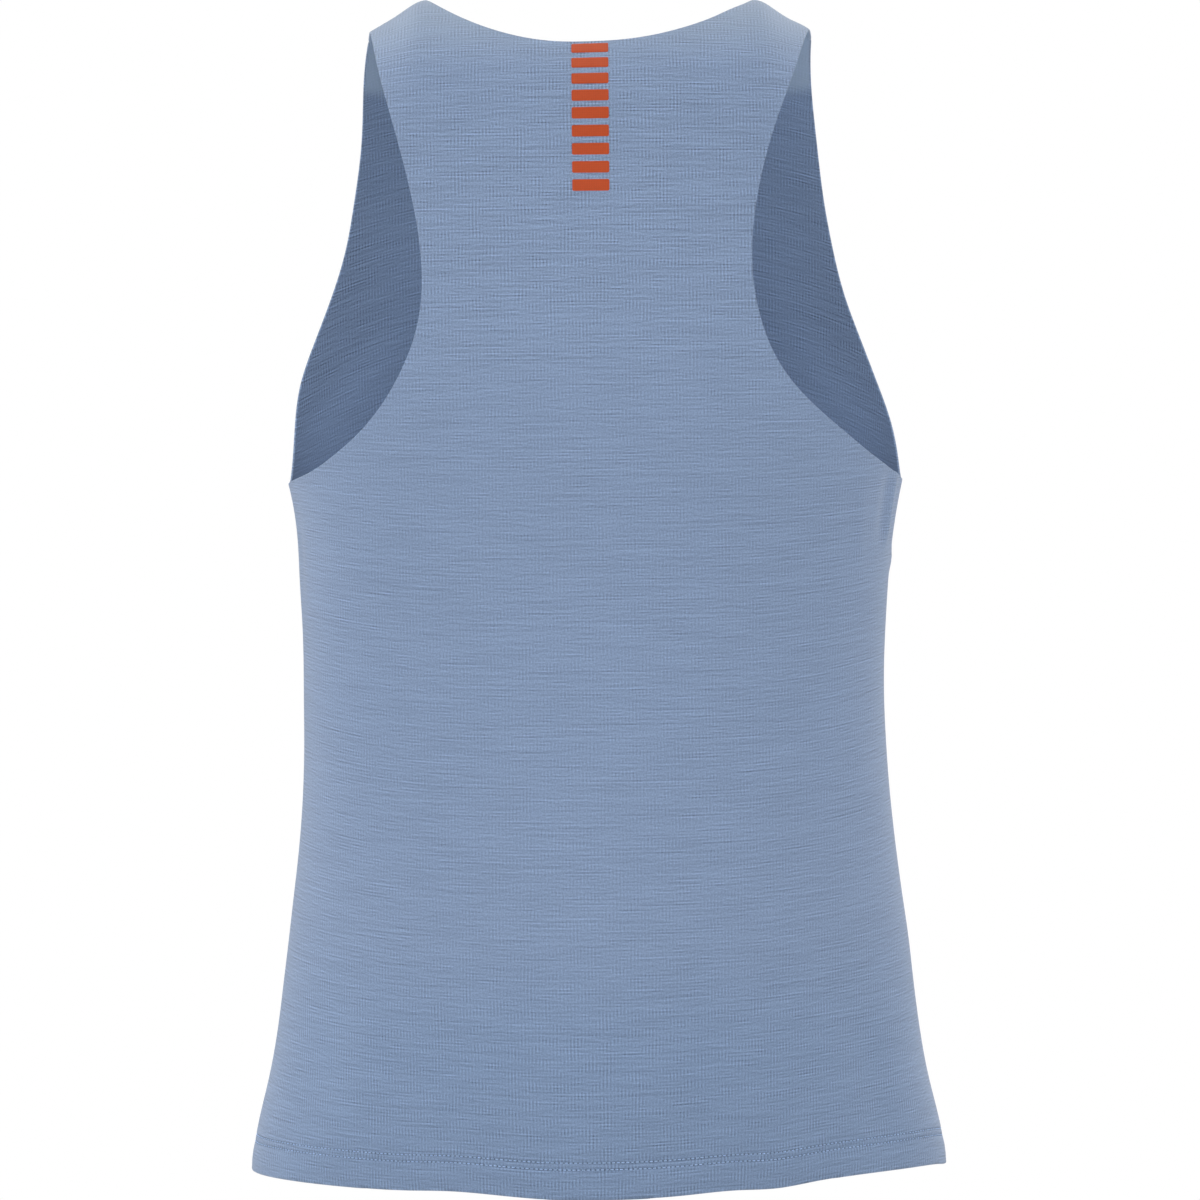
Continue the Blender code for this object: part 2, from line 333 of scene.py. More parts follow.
# --------------------------------------------------------- how the cloth has settled


@dataclass(frozen=True)
class Crease:
    """One soft trough or ridge laid on the cloth.

    Bearings are in degrees and levels in metres. A positive rise is a ridge and a
    negative one a trough. Bow moves the middle of the crease sideways.
    """

    start: tuple[float, float]
    end: tuple[float, float]
    width: float
    rise: float
    bow: float = 0.0
    fade: float = 0.4


class Sway(NamedTuple):
    """How far the hem has moved at one bearing: down, and out from the body."""

    bearing: float
    drop: float
    push: float


CREASES = (
    # the puckered side seam under the right arm, and a fainter one on the left
    Crease((160.2, -0.243), (162.0, -0.292), 0.0062, -0.0011, 0.0, 0.30),
    Crease((165.2, -0.245), (166.4, -0.294), 0.0040, 0.0014, 0.0, 0.30),
    Crease((149.0, -0.244), (153.0, -0.310), 0.0055, 0.0005, 0.0, 0.35),
    Crease((173.0, -0.291), (185.0, -0.303), 0.0042, 0.0008, 0.0, 0.40),
    Crease((12, -0.262), (9, -0.330), 0.0060, -0.0006, 0.0, 0.45),
    # drag lines from the underarms towards the small of the back
    Crease((22, -0.275), (58, -0.352), 0.0110, 0.0008, 0.004),
    Crease((27, -0.300), (66, -0.372), 0.0100, -0.0006, 0.004),
    Crease((156, -0.330), (122, -0.372), 0.0110, 0.0007, -0.004),
    Crease((150, -0.350), (112, -0.392), 0.0100, -0.0006, -0.003),
    # slack above the hips
    Crease((16, -0.392), (52, -0.408), 0.0120, 0.0007, -0.004),
    Crease((166, -0.402), (131, -0.421), 0.0130, 0.0006, -0.005),
    Crease((70, -0.396), (108, -0.401), 0.0160, 0.0005, 0.003),
    # long hanging folds above the hem
    Crease((46, -0.500), (41, -0.628), 0.0190, 0.0011, 0.002),
    Crease((68, -0.520), (65, -0.628), 0.0150, -0.0008, 0.002),
    Crease((118, -0.505), (122, -0.628), 0.0180, 0.0009, -0.003),
    Crease((141, -0.520), (146, -0.628), 0.0140, -0.0009, 0.002),
    # the hidden front: from the bust to the waist and above the hem
    Crease((-36, -0.245), (-62, -0.352), 0.0100, 0.0032, 0.006),
    Crease((-29, -0.270), (-52, -0.378), 0.0090, -0.0024, 0.006),
    Crease((-145, -0.250), (-120, -0.358), 0.0105, 0.0029, -0.006),
    Crease((-152, -0.276), (-131, -0.372), 0.0088, -0.0024, -0.005),
    Crease((-78, -0.262), (-84, -0.365), 0.0140, -0.0022, 0.003),
    Crease((-101, -0.268), (-97, -0.372), 0.0130, -0.0018, -0.003),
    Crease((-16, -0.380), (-60, -0.403), 0.0100, 0.0023, -0.004),
    Crease((-165, -0.386), (-122, -0.411), 0.0110, 0.0025, 0.004),
    Crease((-150, -0.402), (-112, -0.428), 0.0095, -0.0017, 0.003),
    Crease((-49, -0.470), (-43, -0.628), 0.0160, 0.0034, -0.003),
    Crease((-74, -0.510), (-79, -0.628), 0.0140, -0.0027, 0.002),
    Crease((-109, -0.480), (-104, -0.628), 0.0170, 0.0031, 0.003),
    Crease((-137, -0.505), (-141, -0.628), 0.0130, -0.0026, -0.002),
)

HEM_SWAY = (
    Sway(-180, -0.0010, 0.0000),
    Sway(-172, -0.0016, 0.0000),
    Sway(-150, -0.0025, 0.0006),
    Sway(-120, -0.0015, -0.0005),
    Sway(-90, -0.0005, 0.0007),
    Sway(-60, 0.0005, -0.0004),
    Sway(-30, -0.0003, 0.0006),
    Sway(0, -0.0010, 0.0000),
    Sway(30, -0.0010, 0.0004),
    Sway(47, -0.0010, 0.0000),
    Sway(57, -0.0014, -0.0004),
    Sway(65, -0.0022, -0.0005),
    Sway(74, -0.0010, 0.0002),
    Sway(82, 0.0004, 0.0006),
    Sway(92, 0.0005, 0.0004),
    Sway(103, -0.0004, 0.0000),
    Sway(113, -0.0018, -0.0003),
    Sway(120, -0.0014, -0.0004),
    Sway(127, -0.0032, -0.0002),
    Sway(139, -0.0048, 0.0004),
    Sway(152, -0.0047, 0.0006),
    Sway(165, -0.0037, 0.0002),
    Sway(172, -0.0024, 0.0000),
    Sway(180, -0.0010, 0.0000),
)


class Outline(NamedTuple):
    """How far the sides stand out beyond the form at one level, left and right."""

    level: float
    left: float
    right: float


OUTLINE = (
    Outline(-0.600, 0.0002, 0.0000),
    Outline(-0.582, 0.0004, 0.0001),
    Outline(-0.540, 0.0001, 0.0005),
    Outline(-0.518, 0.0000, 0.0007),
    Outline(-0.497, -0.0002, 0.0010),
    Outline(-0.476, -0.0003, 0.0006),
    Outline(-0.455, -0.0005, 0.0003),
    Outline(-0.412, 0.0000, 0.0000),
    Outline(-0.391, 0.0005, -0.0002),
    Outline(-0.370, 0.0009, -0.0005),
    Outline(-0.349, 0.0007, -0.0005),
    Outline(-0.327, 0.0004, -0.0002),
    Outline(-0.306, 0.0002, 0.0000),
    Outline(-0.285, -0.0009, 0.0003),
    Outline(-0.264, -0.0014, 0.0007),
    Outline(-0.243, -0.0005, 0.0011),
    Outline(-0.221, 0.0008, 0.0013),
    Outline(-0.200, 0.0009, 0.0011),
    Outline(-0.179, 0.0005, 0.0011),
    Outline(-0.150, 0.0004, 0.0003),
    Outline(-0.120, 0.0000, 0.0000),
)


class Settle(NamedTuple):
    """How far the shoulder has sunk at one half width, the wearer's left being plus."""

    x: float
    drop: float


SHOULDERS = (
    Settle(-0.1180, 0.0010),
    Settle(-0.1117, 0.0012),
    Settle(-0.1064, 0.0021),
    Settle(-0.0958, 0.0017),
    Settle(-0.0889, 0.0010),
    Settle(-0.0825, 0.0013),
    Settle(-0.0745, 0.0003),
    Settle(-0.0640, -0.0002),
    Settle(-0.0480, -0.0013),
    Settle(-0.0268, -0.0013),
    Settle(0.0000, 0.0002),
    Settle(0.0160, 0.0011),
    Settle(0.0370, 0.0007),
    Settle(0.0530, 0.0003),
    Settle(0.0793, 0.0000),
    Settle(0.0873, -0.0002),
    Settle(0.0952, 0.0005),
    Settle(0.1032, 0.0011),
    Settle(0.1111, 0.0007),
    Settle(0.1180, 0.0003),
)


class Courses(NamedTuple):
    """How far the courses stand above level at the side seams, at one level."""

    level: float
    back: float
    front: float


COURSES = (
    Courses(-0.6200, 0.004, 0.003),
    Courses(-0.5400, 0.008, 0.006),
    Courses(-0.4500, 0.011, 0.004),
    Courses(-0.3650, 0.012, -0.010),
    Courses(-0.3100, 0.011, -0.026),
    Courses(-0.2543, 0.007, -0.044),
    Courses(-0.1800, 0.001, -0.050),
    Courses(-0.0800, 0.000, -0.040),
)


@dataclass(frozen=True)
class Drape:
    """The form with its creases, hem waves, seam grooves and stitch channels.

    A reach or width is the distance over which the depth before it fades, in metres.
    """

    form: Form
    creases: tuple[Crease, ...] = CREASES
    sway: tuple[Sway, ...] = HEM_SWAY
    outline: tuple[Outline, ...] = OUTLINE
    shoulders: tuple[Settle, ...] = SHOULDERS
    girth_radius: float = 0.130
    sway_reach: float = 0.070
    tuck: float = 0.0052
    tuck_reach: float = 0.150
    settle_reach: float = 0.030
    seam_dip: float = 0.0006
    seam_dip_width: float = 0.0016
    seam_dip_fade: float = 0.004
    stitch_rows: tuple[float, float] = (0.0145, 0.0180)
    channel_depth: float = 0.0005
    channel_width: float = 0.0005
    hem_puff: float = 0.0003
    hem_puff_edge: float = 0.4

    def _crease(self, crease: Crease, bearing: Array, level: Array) -> Array:
        """How far one crease lifts the cloth at each place.

        Args:
            crease: the crease.
            bearing: bearings round the body.
            level: levels in the pattern plane.

        Returns:
            Distances away from the body.
        """
        start = np.array([math.radians(crease.start[0]) * self.girth_radius, crease.start[1]])
        end = np.array([math.radians(crease.end[0]) * self.girth_radius, crease.end[1]])
        along = end - start
        length = float(np.hypot(*along))
        along /= length
        across = np.array([-along[1], along[0]])
        turn = 2 * math.pi * self.girth_radius
        around = bearing * self.girth_radius - start[0]
        around = (around + turn / 2) % turn - turn / 2
        place = (around * along[0] + (level - start[1]) * along[1]) / length
        aside = around * across[0] + (level - start[1]) * across[1]
        aside = aside - crease.bow * 4 * np.clip(place, 0, 1) * (1 - np.clip(place, 0, 1))
        ends = smooth_step(0, crease.fade, place) * smooth_step(1, 1 - crease.fade, place)
        return crease.rise * ends * np.exp(-((aside / crease.width) ** 2))

    def _sway_at(self, bearing: Array, column: str) -> Array:
        """One column of the hem's sway at each bearing."""
        places = [math.radians(row.bearing) for row in self.sway]
        return Spline(places, [getattr(row, column) for row in self.sway])(bearing)

    def _outline_at(self, angle: Array, level: Array) -> Array:
        """How far the sides stand out, fading towards the centre line.

        Args:
            angle: angles from the wearer's left side seam.
            level: levels in the pattern plane.

        Returns:
            Distances away from the body.
        """
        left = Spline.through(self.outline, "left")(level)
        right = Spline.through(self.outline, "right")(level)
        across = np.cos(angle)
        return np.where(across > 0, left, right) * np.abs(across) ** 3

    def _settle_at(self, x: Array, height: Array) -> Array:
        """How far the cloth has sunk near the top of the shoulders.

        Args:
            x: half widths.
            height: true heights.

        Returns:
            Distances downwards.
        """
        sunk = Spline.through(self.shoulders, "drop")(x)
        below = np.maximum(self.form.ridge_height(x) - height, 0)
        return sunk * np.exp(-below / self.settle_reach)

    def lift(self, bearing: Array, angle: Array, level: Array) -> Array:
        """How far the settled cloth stands out from the form.

        Args:
            bearing: bearings round the body.
            angle: angles from the wearer's left side seam.
            level: levels in the pattern plane.

        Returns:
            Distances away from the body.
        """
        total = sum(self._crease(crease, bearing, level) for crease in self.creases)
        total = total + self._outline_at(angle, level)
        from_seam = self.form.half_width(level) * np.minimum(angle, math.pi - angle)
        underarm = self.form.underarm_height
        closed = smooth_step(underarm + self.seam_dip_fade, underarm, level)
        total = total - closed * self.seam_dip * np.exp(-((from_seam / self.seam_dip_width) ** 2))
        above_hem = level - self.form.hem_level(angle)
        tucked = np.clip(1 - above_hem / self.tuck_reach, 0, 1) ** 2 * np.sin(angle) ** 4
        total = total - self.tuck * tucked
        near_hem = np.exp(-np.maximum(above_hem, 0) / self.sway_reach)
        total = total + near_hem * self._sway_at(bearing, "push")
        lower, upper = self.stitch_rows
        edge = self.hem_puff_edge
        puffed = smooth_step(0.0, lower * edge, above_hem)
        puffed = puffed * smooth_step(lower, lower * (1 - edge), above_hem)
        total = total + self.hem_puff * puffed
        for row in (lower, upper):
            off_row = (above_hem - row) / self.channel_width
            total = total - self.channel_depth * np.exp(-(off_row**2))
        return total

    def place(self, angle: Array, level: Array, side: Side, lift: Any = 0.0) -> tuple[Array, Array]:
        """Points of the settled cloth's outer face, moved out by lift, and the form's normals.

        Args:
            angle: angles from the wearer's left side seam.
            level: levels in the pattern plane.
            side: the panel.
            lift: further distance out from the cloth.

        Returns:
            The points and the normals.
        """
        bearing = angle * side.value
        normal = self.form.normal(angle, level, side)
        out = self.lift(bearing, angle, level) + lift
        points = self.form.point(angle, level, side) + normal * np.asarray(out)[..., None]
        above_hem = np.maximum(level - self.form.hem_level(angle), 0)
        points[..., 2] -= np.exp(-above_hem / self.sway_reach) * self._sway_at(bearing, "drop")
        points[..., 2] -= self._settle_at(points[..., 0], points[..., 2])
        return points, normal


# ----------------------------------------------------------------- meshes of cloth


def new_object(
    name: str,
    points: Array,
    faces: Sequence[Sequence[int]],
    materials: Sequence[bpy.types.Material],
    slots: Sequence[int] | None = None,
) -> bpy.types.Object:
    """Makes a smooth mesh object at the origin that rides on the row's body.

    Args:
        name: the piece's name.
        points: its vertices.
        faces: its faces as vertex numbers.
        materials: its materials, in slot order.
        slots: the material slot of each face, or None for the first.

    Returns:
        The object.
    """
    mesh = bpy.data.meshes.new(name)
    mesh.from_pydata([tuple(point) for point in points.tolist()], [], [list(f) for f in faces])
    for material in materials:
        mesh.materials.append(material)
    if slots is not None:
        mesh.polygons.foreach_set("material_index", np.asarray(slots, np.int32))
    mesh.shade_smooth()
    mesh.update()
    piece = bpy.data.objects.new(name, mesh)
    bpy.context.scene.collection.objects.link(piece)
    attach(piece, ROOT_BODY)
    return piece


def write_cloth_map(piece: bpy.types.Object, across: Array, up: Array) -> None:
    """Gives a piece its map of the knitted cloth.

    Args:
        piece: the piece.
        across: how far each point lies across the ribs, in metres.
        up: how far each point lies up the courses, in metres.
    """
    corners = np.empty(len(piece.data.loops), np.int32)
    piece.data.loops.foreach_get("vertex_index", corners)
    layer = piece.data.uv_layers.new(name="cloth")
    layer.uv.foreach_set("vector", np.stack([across, up], axis=1)[corners].ravel())


class Finish(Enum):
    """How far each kind of border stands out, as a share of the cloth's thickness."""

    SEAM = 0.12
    FOLD = 0.5
    CLEAN = 0.42


@dataclass
class Border:
    """A panel's rim, one entry for each border vertex and edge of the outer skin."""

    edges: list[tuple[int, int]]
    vertices: list[int]

    def numbers(self) -> Array:
        """Each edge's two ends, counted along the border's own vertices."""
        return np.searchsorted(self.vertices, np.array(self.edges))

    def away(self, points: Array, normals: Array) -> Array:
        """Directions in the cloth that lead away from the panel at each border vertex.

        Args:
            points: the outer skin's points.
            normals: the form's normals there.

        Returns:
            A unit direction for each border vertex.
        """
        away = np.zeros((len(self.vertices), 3))
        for (start, end), (near, far) in zip(self.edges, self.numbers()):
            direction = np.cross(points[end] - points[start], normals[start])
            away[near] += direction
            away[far] += direction
        return unit(away)


class PatternGrid:
    """A panel laid out in its pattern plane: places, and four-sided faces between them."""

    def __init__(self) -> None:
        """Starts with no places."""
        self.angles: list[Array] = []
        self.levels: list[Array] = []
        self.count = 0
        self.blocks: list[Array] = []

    def add_row(self, angles: Array, levels: Array) -> Array:
        """Adds one row of places and returns their numbers.

        Args:
            angles: the places' angles.
            levels: their levels.

        Returns:
            The numbers of the new places.
        """
        self.angles.append(angles)
        self.levels.append(levels)
        numbers = np.arange(self.count, self.count + len(angles))
        self.count += len(angles)
        return numbers

    def add_faces(self, lower: Array, upper: Array, flip: bool) -> None:
        """Fills the strip between two rows of the same length, turned over if flip is set."""
        strip = np.stack([lower[:-1], lower[1:], upper[1:], upper[:-1]], axis=1)
        self.blocks.append(strip[:, ::-1] if flip else strip)

    def faces(self) -> Array:
        """All faces as an array of four vertex numbers each."""
        return np.concatenate(self.blocks)

    def border(self) -> Border:
        """The edges that only one face uses, in their face's direction.

        Returns:
            The panel's border.
        """
        faces = self.faces()
        starts, ends = faces.ravel(), np.roll(faces, -1, axis=1).ravel()
        keys = np.minimum(starts, ends) * self.count + np.maximum(starts, ends)
        _, first, uses = np.unique(keys, return_index=True, return_counts=True)
        lone = first[uses == 1]
        edges = list(zip(starts[lone].tolist(), ends[lone].tolist()))
        return Border(edges, sorted({v for edge in edges for v in edge}))


@dataclass(frozen=True)
class Pattern:
    """A panel's pattern: its cut, laid out in rows from the hem up to the shoulder seam.

    Each half of a row runs from the centre line or neckline out to the side. The
    columns crowd towards the side, and a row's bow says how long it runs level first.
    Lengths are in metres.
    """

    cut: Cut
    drape: Drape
    half_columns: int = 74
    crowding: tuple[float, ...] = (0.0, 0.0004, 0.0009, 0.0016, 0.0026, 0.0040, 0.0060)
    shortest_row: float = 0.02
    row_slack: float = 1.15
    hem_bow: float = 1.2
    yoke_bow: float = 2.0
    row_pitch: float = 0.0031
    hem_rows: tuple[float, ...] = (0.0, 0.0008, 0.0022, 0.0045, 0.0070, 0.0095, 0.0118)
    rows_by_stitches: tuple[float, ...] = (-0.0012, -0.0008, -0.0004, 0.0, 0.0004, 0.0008)
    rows_by_raw_edge: tuple[float, ...] = (0.0193, 0.0199, 0.0212)
    rows_beside_armhole: int = 66
    rise_with_edge: float = 0.85
    rows_on_strap: int = 44
    rows_over_ridge: int = 12
    row_clearance: float = 0.001
    edge_samples: int = 600
    map_columns: int = 96
    map_rows: int = 79
    map_margin: float = 0.01
    map_top: float = 0.12
    map_clearance: float = 0.001

    @property
    def form(self) -> Form:
        """The form that the cloth lies on."""
        return self.drape.form

    @property
    def side(self) -> Side:
        """Which way the panel faces."""
        return self.cut.side

    def armhole(self, mirrored: bool) -> Spline:
        """Half width against level along one armhole up to the shoulder seam.

        Args:
            mirrored: True for the wearer's right.

        Returns:
            A spline from level to half width.
        """
        widths = [edge.right if mirrored else edge.left for edge in self.cut.armhole]
        heights = [edge.height for edge in self.cut.armhole]
        levels = self.form.level_of(np.array(widths), np.array(heights), self.side).tolist()
        if self.side is Side.BACK:
            levels.append(float(self.form.ridge_level(self.form.tip_half_width, self.side)))
            widths.append(self.form.tip_half_width)
        levels.append(self.seam_level(self.form.seam_half_width))
        widths.append(self.form.seam_half_width)
        return Spline(levels, widths)

    def seam_level(self, x: Any) -> Array:
        """Level of the shoulder seam, which runs forward of the ridge on both panels."""
        below_ridge = self.form.seam_gap / 2 - self.side.value * self.form.seam_forward
        return self.form.ridge_level(x, self.side) - below_ridge

    def neckline(self, turn: Array) -> tuple[Array, Array]:
        """Places on the neckline, from its bottom at turn 0 to the ridge at a quarter turn.

        Args:
            turn: turns from 0 to a quarter turn.

        Returns:
            Half widths and levels.
        """
        x = self.form.neck_half_width * np.sin(turn)
        rest = np.maximum(0.0, 1 - np.sin(turn) ** self.cut.neck_across)
        top = self.form.ridge_height(self.form.neck_half_width)
        height = top - self.cut.neck_depth * rest ** (1 / self.cut.neck_down)
        return x, self.form.level_of(x, height, self.side)

    def even_levels(self, edge: Spline, start: float, end: float, count: int) -> Array:
        """Levels after start that lie evenly spaced along an armhole edge.

        Args:
            edge: the armhole edge.
            start: the level before the first.
            end: the last level.
            count: how many levels to give.

        Returns:
            The levels, from below.
        """
        levels = start + (end - start) * np.linspace(0, 1, self.edge_samples) ** 2
        angles = np.arccos(np.minimum(1, edge(levels) / self.form.half_width(levels)))
        points = self.form.point(angles, levels, self.side)
        lengths = np.cumsum(np.linalg.norm(np.diff(points, axis=0), axis=1))
        lengths = np.concatenate([[0], lengths])
        return np.interp(np.linspace(0, lengths[-1], count + 1)[1:], lengths, levels)

    def hem_steps(self) -> list[float]:
        """Distances above the hem edge of the rows that shape the hem and its stitching.

        Returns:
            The distances, from below.
        """
        stitches = self.drape.stitch_rows
        beside = [row + offset for row in stitches for offset in self.rows_by_stitches]
        return sorted([*self.hem_rows, *beside, *self.rows_by_raw_edge])

    def along(self, length: float) -> Array:
        """Shares of a half row from its inner end to its outer end, crowded near the outer.

        Args:
            length: the half row's length.

        Returns:
            Shares from 0 to 1.
        """
        crowded = 1 - np.array(self.crowding[::-1]) / length
        inner = np.linspace(0, crowded[0], self.half_columns + 1 - len(crowded), endpoint=False)
        return np.concatenate([inner, crowded])

    def half_row(
        self,
        inner: tuple[float, float],
        outer: tuple[float, float],
        bow: float,
        follow: float,
        mirrored: bool,
    ) -> tuple[Array, Array]:
        """Places of a half row.

        Args:
            inner: angle and level of its end at the centre line or neckline.
            outer: angle and level of its end at the side.
            bow: the higher, the further the row runs level before it turns outwards.
            follow: the share of the shoulder ridge's shape that the row follows.
            mirrored: True for the wearer's right.

        Returns:
            Its angles and levels.
        """
        ends_x = [float(self.form.half_width(lv)) * math.cos(a) for a, lv in (inner, outer)]
        length = max(abs(ends_x[1] - ends_x[0]), self.shortest_row) * self.row_slack
        along = self.along(length)
        angles = inner[0] + (outer[0] - inner[0]) * along
        levels = inner[1] + (outer[1] - inner[1]) * along**bow
        if follow:
            ridge = self.form.ridge_level(self.form.half_width(levels) * np.cos(angles), self.side)
            levels = levels + follow * (ridge - ridge[0] - (ridge[-1] - ridge[0]) * along)
        return (math.pi - angles if mirrored else angles), levels

    def body_ends(self, mirrored: bool) -> list[tuple]:
        """Ends of the half rows from the hem to the bottom of the neckline.

        Args:
            mirrored: True for the wearer's right.

        Returns:
            What half_row is given for each row, from below.
        """
        form = self.form
        depth = float(form.depth(self.side, np.array(1.0), np.array(form.underarm_height)))
        seam_angle = form.seam_gap / 2 / depth
        steps = self.hem_steps()
        rise = form.underarm_height - form.hem_side_height
        count = round((rise - steps[-1]) / self.row_pitch)
        steps += np.linspace(steps[-1], rise, count + 1)[1:].tolist()
        ends = []
        for step in steps:
            side_level = form.hem_side_height + step
            centre = side_level - form.hem_centre_drop * (1 - step / rise)
            ends.append(((QUARTER, centre), (seam_angle, side_level), self.hem_bow, 0.0))
        neck = float(self.neckline(np.array(0.0))[1])
        edge, levels, _ = self.beside_armhole(mirrored)
        risen = (self.beside_armhole(True)[2] + self.beside_armhole(False)[2]) / 2
        for level, share in zip(levels, risen):
            centre = form.underarm_height + (neck - form.underarm_height) * share
            angle = float(form.angle_at(edge(level), level))
            ends.append(((QUARTER, centre), (angle, float(level)), self.yoke_bow, 0.0))
        return ends

    def beside_armhole(self, mirrored: bool) -> tuple[Spline, Array, Array]:
        """One armhole's edge, its rows' levels there, and how far each row has risen.

        The rows rise mostly with the edge, which keeps their middles inside it.

        Args:
            mirrored: True for the wearer's right.

        Returns:
            The edge, the levels, and shares of the way up.
        """
        start, yoke = self.form.underarm_height, self.cut.yoke_height
        edge = self.armhole(mirrored)
        top = float(self.form.level_of(edge(yoke), yoke, self.side))
        count = self.rows_beside_armhole
        levels = self.even_levels(edge, start, top, count)
        evenly = np.arange(1, count + 1) / count
        with_edge = (levels - start) / (top - start)
        return edge, levels, evenly + (with_edge - evenly) * self.rise_with_edge

    def strap_ends(self, mirrored: bool, start: float) -> list[tuple]:
        """Ends of the half rows from the bottom of the neckline to the shoulder seam.

        Args:
            mirrored: True for the wearer's right.
            start: the level of the armhole edge at the row below.

        Returns:
            What half_row is given for each row, from below.
        """
        edge = self.armhole(mirrored)
        neck_half = self.form.neck_half_width
        on_neck = self.rows_on_strap
        if self.side is Side.BACK:
            on_neck -= self.rows_over_ridge
        xs, levels = self.neckline(QUARTER * np.linspace(0, 1, on_neck + 1)[1:])
        places = list(zip(xs.tolist(), levels.tolist()))
        last = self.seam_level(neck_half)
        if self.side is Side.FRONT:
            places = [place for place in places if place[1] < last - self.row_clearance]
        extra = self.rows_on_strap - len(places)
        above = np.linspace(places[-1][1], last, max(extra, 1) + 1)[1:]
        places += [(neck_half, float(level)) for level in above]
        seam = self.seam_level(self.form.seam_half_width)
        ends = []
        outer_levels = self.even_levels(edge, start, seam, len(places))
        for i, ((x, level), outer) in enumerate(zip(places, outer_levels), 1):
            follow = i / len(places)
            inner_angle = float(self.form.angle_at(x, level))
            outer_angle = float(self.form.angle_at(edge(outer), outer))
            bow = self.yoke_bow + (1 - self.yoke_bow) * follow
            ends.append(((inner_angle, level), (outer_angle, float(outer)), bow, follow))
        return ends

    def lay_out(self) -> PatternGrid:
        """The whole panel in its pattern plane.

        Returns:
            The grid, with its faces pointing outwards.
        """
        grid = PatternGrid()
        right, left = self.body_ends(True), self.body_ends(False)
        lower = None
        for right_end, left_end in zip(right, left):
            right_angles, right_levels = self.half_row(*right_end, mirrored=True)
            left_angles, left_levels = self.half_row(*left_end, mirrored=False)
            angles = np.concatenate([right_angles[::-1], left_angles[1:]])
            levels = np.concatenate([right_levels[::-1], left_levels[1:]])
            upper = grid.add_row(angles, levels)
            if lower is not None:
                grid.add_faces(lower, upper, self.side is Side.BACK)
            lower = upper
        middle = self.half_columns
        for mirrored, ends, start in (
            (True, right, lower[middle::-1]),
            (False, left, lower[middle:]),
        ):
            row_below = start
            for end in self.strap_ends(mirrored, ends[-1][1][1]):
                row = grid.add_row(*self.half_row(*end, mirrored=mirrored))
                grid.add_faces(row_below, row, (self.side is Side.BACK) != mirrored)
                row_below = row
        return grid

    def cloth_map(self, angle: Array, level: Array) -> tuple[Array, Array]:
        """Where each place lies on the knitted cloth: across the ribs and up the courses.

        The courses run nearly level across the middle. Towards the side seams they
        rise on the back and fall on the front, where the cloth is drawn to the bust.

        Args:
            angle: angles from the wearer's left side seam.
            level: levels in the pattern plane.

        Returns:
            Distances across and up the cloth.
        """
        form = self.form
        steps = np.linspace(0, QUARTER, self.map_columns + 1)
        bottom = form.hem_side_height - self.map_margin
        rows = np.linspace(bottom, self.map_top, self.map_rows + 1)
        grid_angle, grid_level = np.meshgrid(steps, rows)
        x = form.half_width(grid_level) * np.cos(grid_angle)
        y = form.depth(self.side, grid_angle, grid_level)
        lengths = np.hypot(np.diff(x, axis=1), np.diff(y, axis=1))
        from_seam = np.concatenate([np.zeros((len(rows), 1)), np.cumsum(lengths, axis=1)], axis=1)
        to_centre = from_seam[:, -1:] - from_seam
        column = np.minimum(angle, math.pi - angle) / QUARTER * self.map_columns
        column = np.clip(column, 0, self.map_columns - self.map_clearance)
        row = (level - rows[0]) / (rows[1] - rows[0])
        row = np.clip(row, 0, self.map_rows - self.map_clearance)
        i, j = row.astype(int), column.astype(int)
        a, b = row - i, column - j
        around = (
            to_centre[i, j] * (1 - a) * (1 - b)
            + to_centre[i + 1, j] * a * (1 - b)
            + to_centre[i, j + 1] * (1 - a) * b
            + to_centre[i + 1, j + 1] * a * b
        )
        across = np.where(angle > QUARTER, -around, around)
        courses, power = ("back", 4) if self.side is Side.BACK else ("front", 2.5)
        rise = Spline.through(COURSES, courses)(level) * np.abs(np.cos(angle)) ** power
        return across, level - form.hem_level(angle) - rise


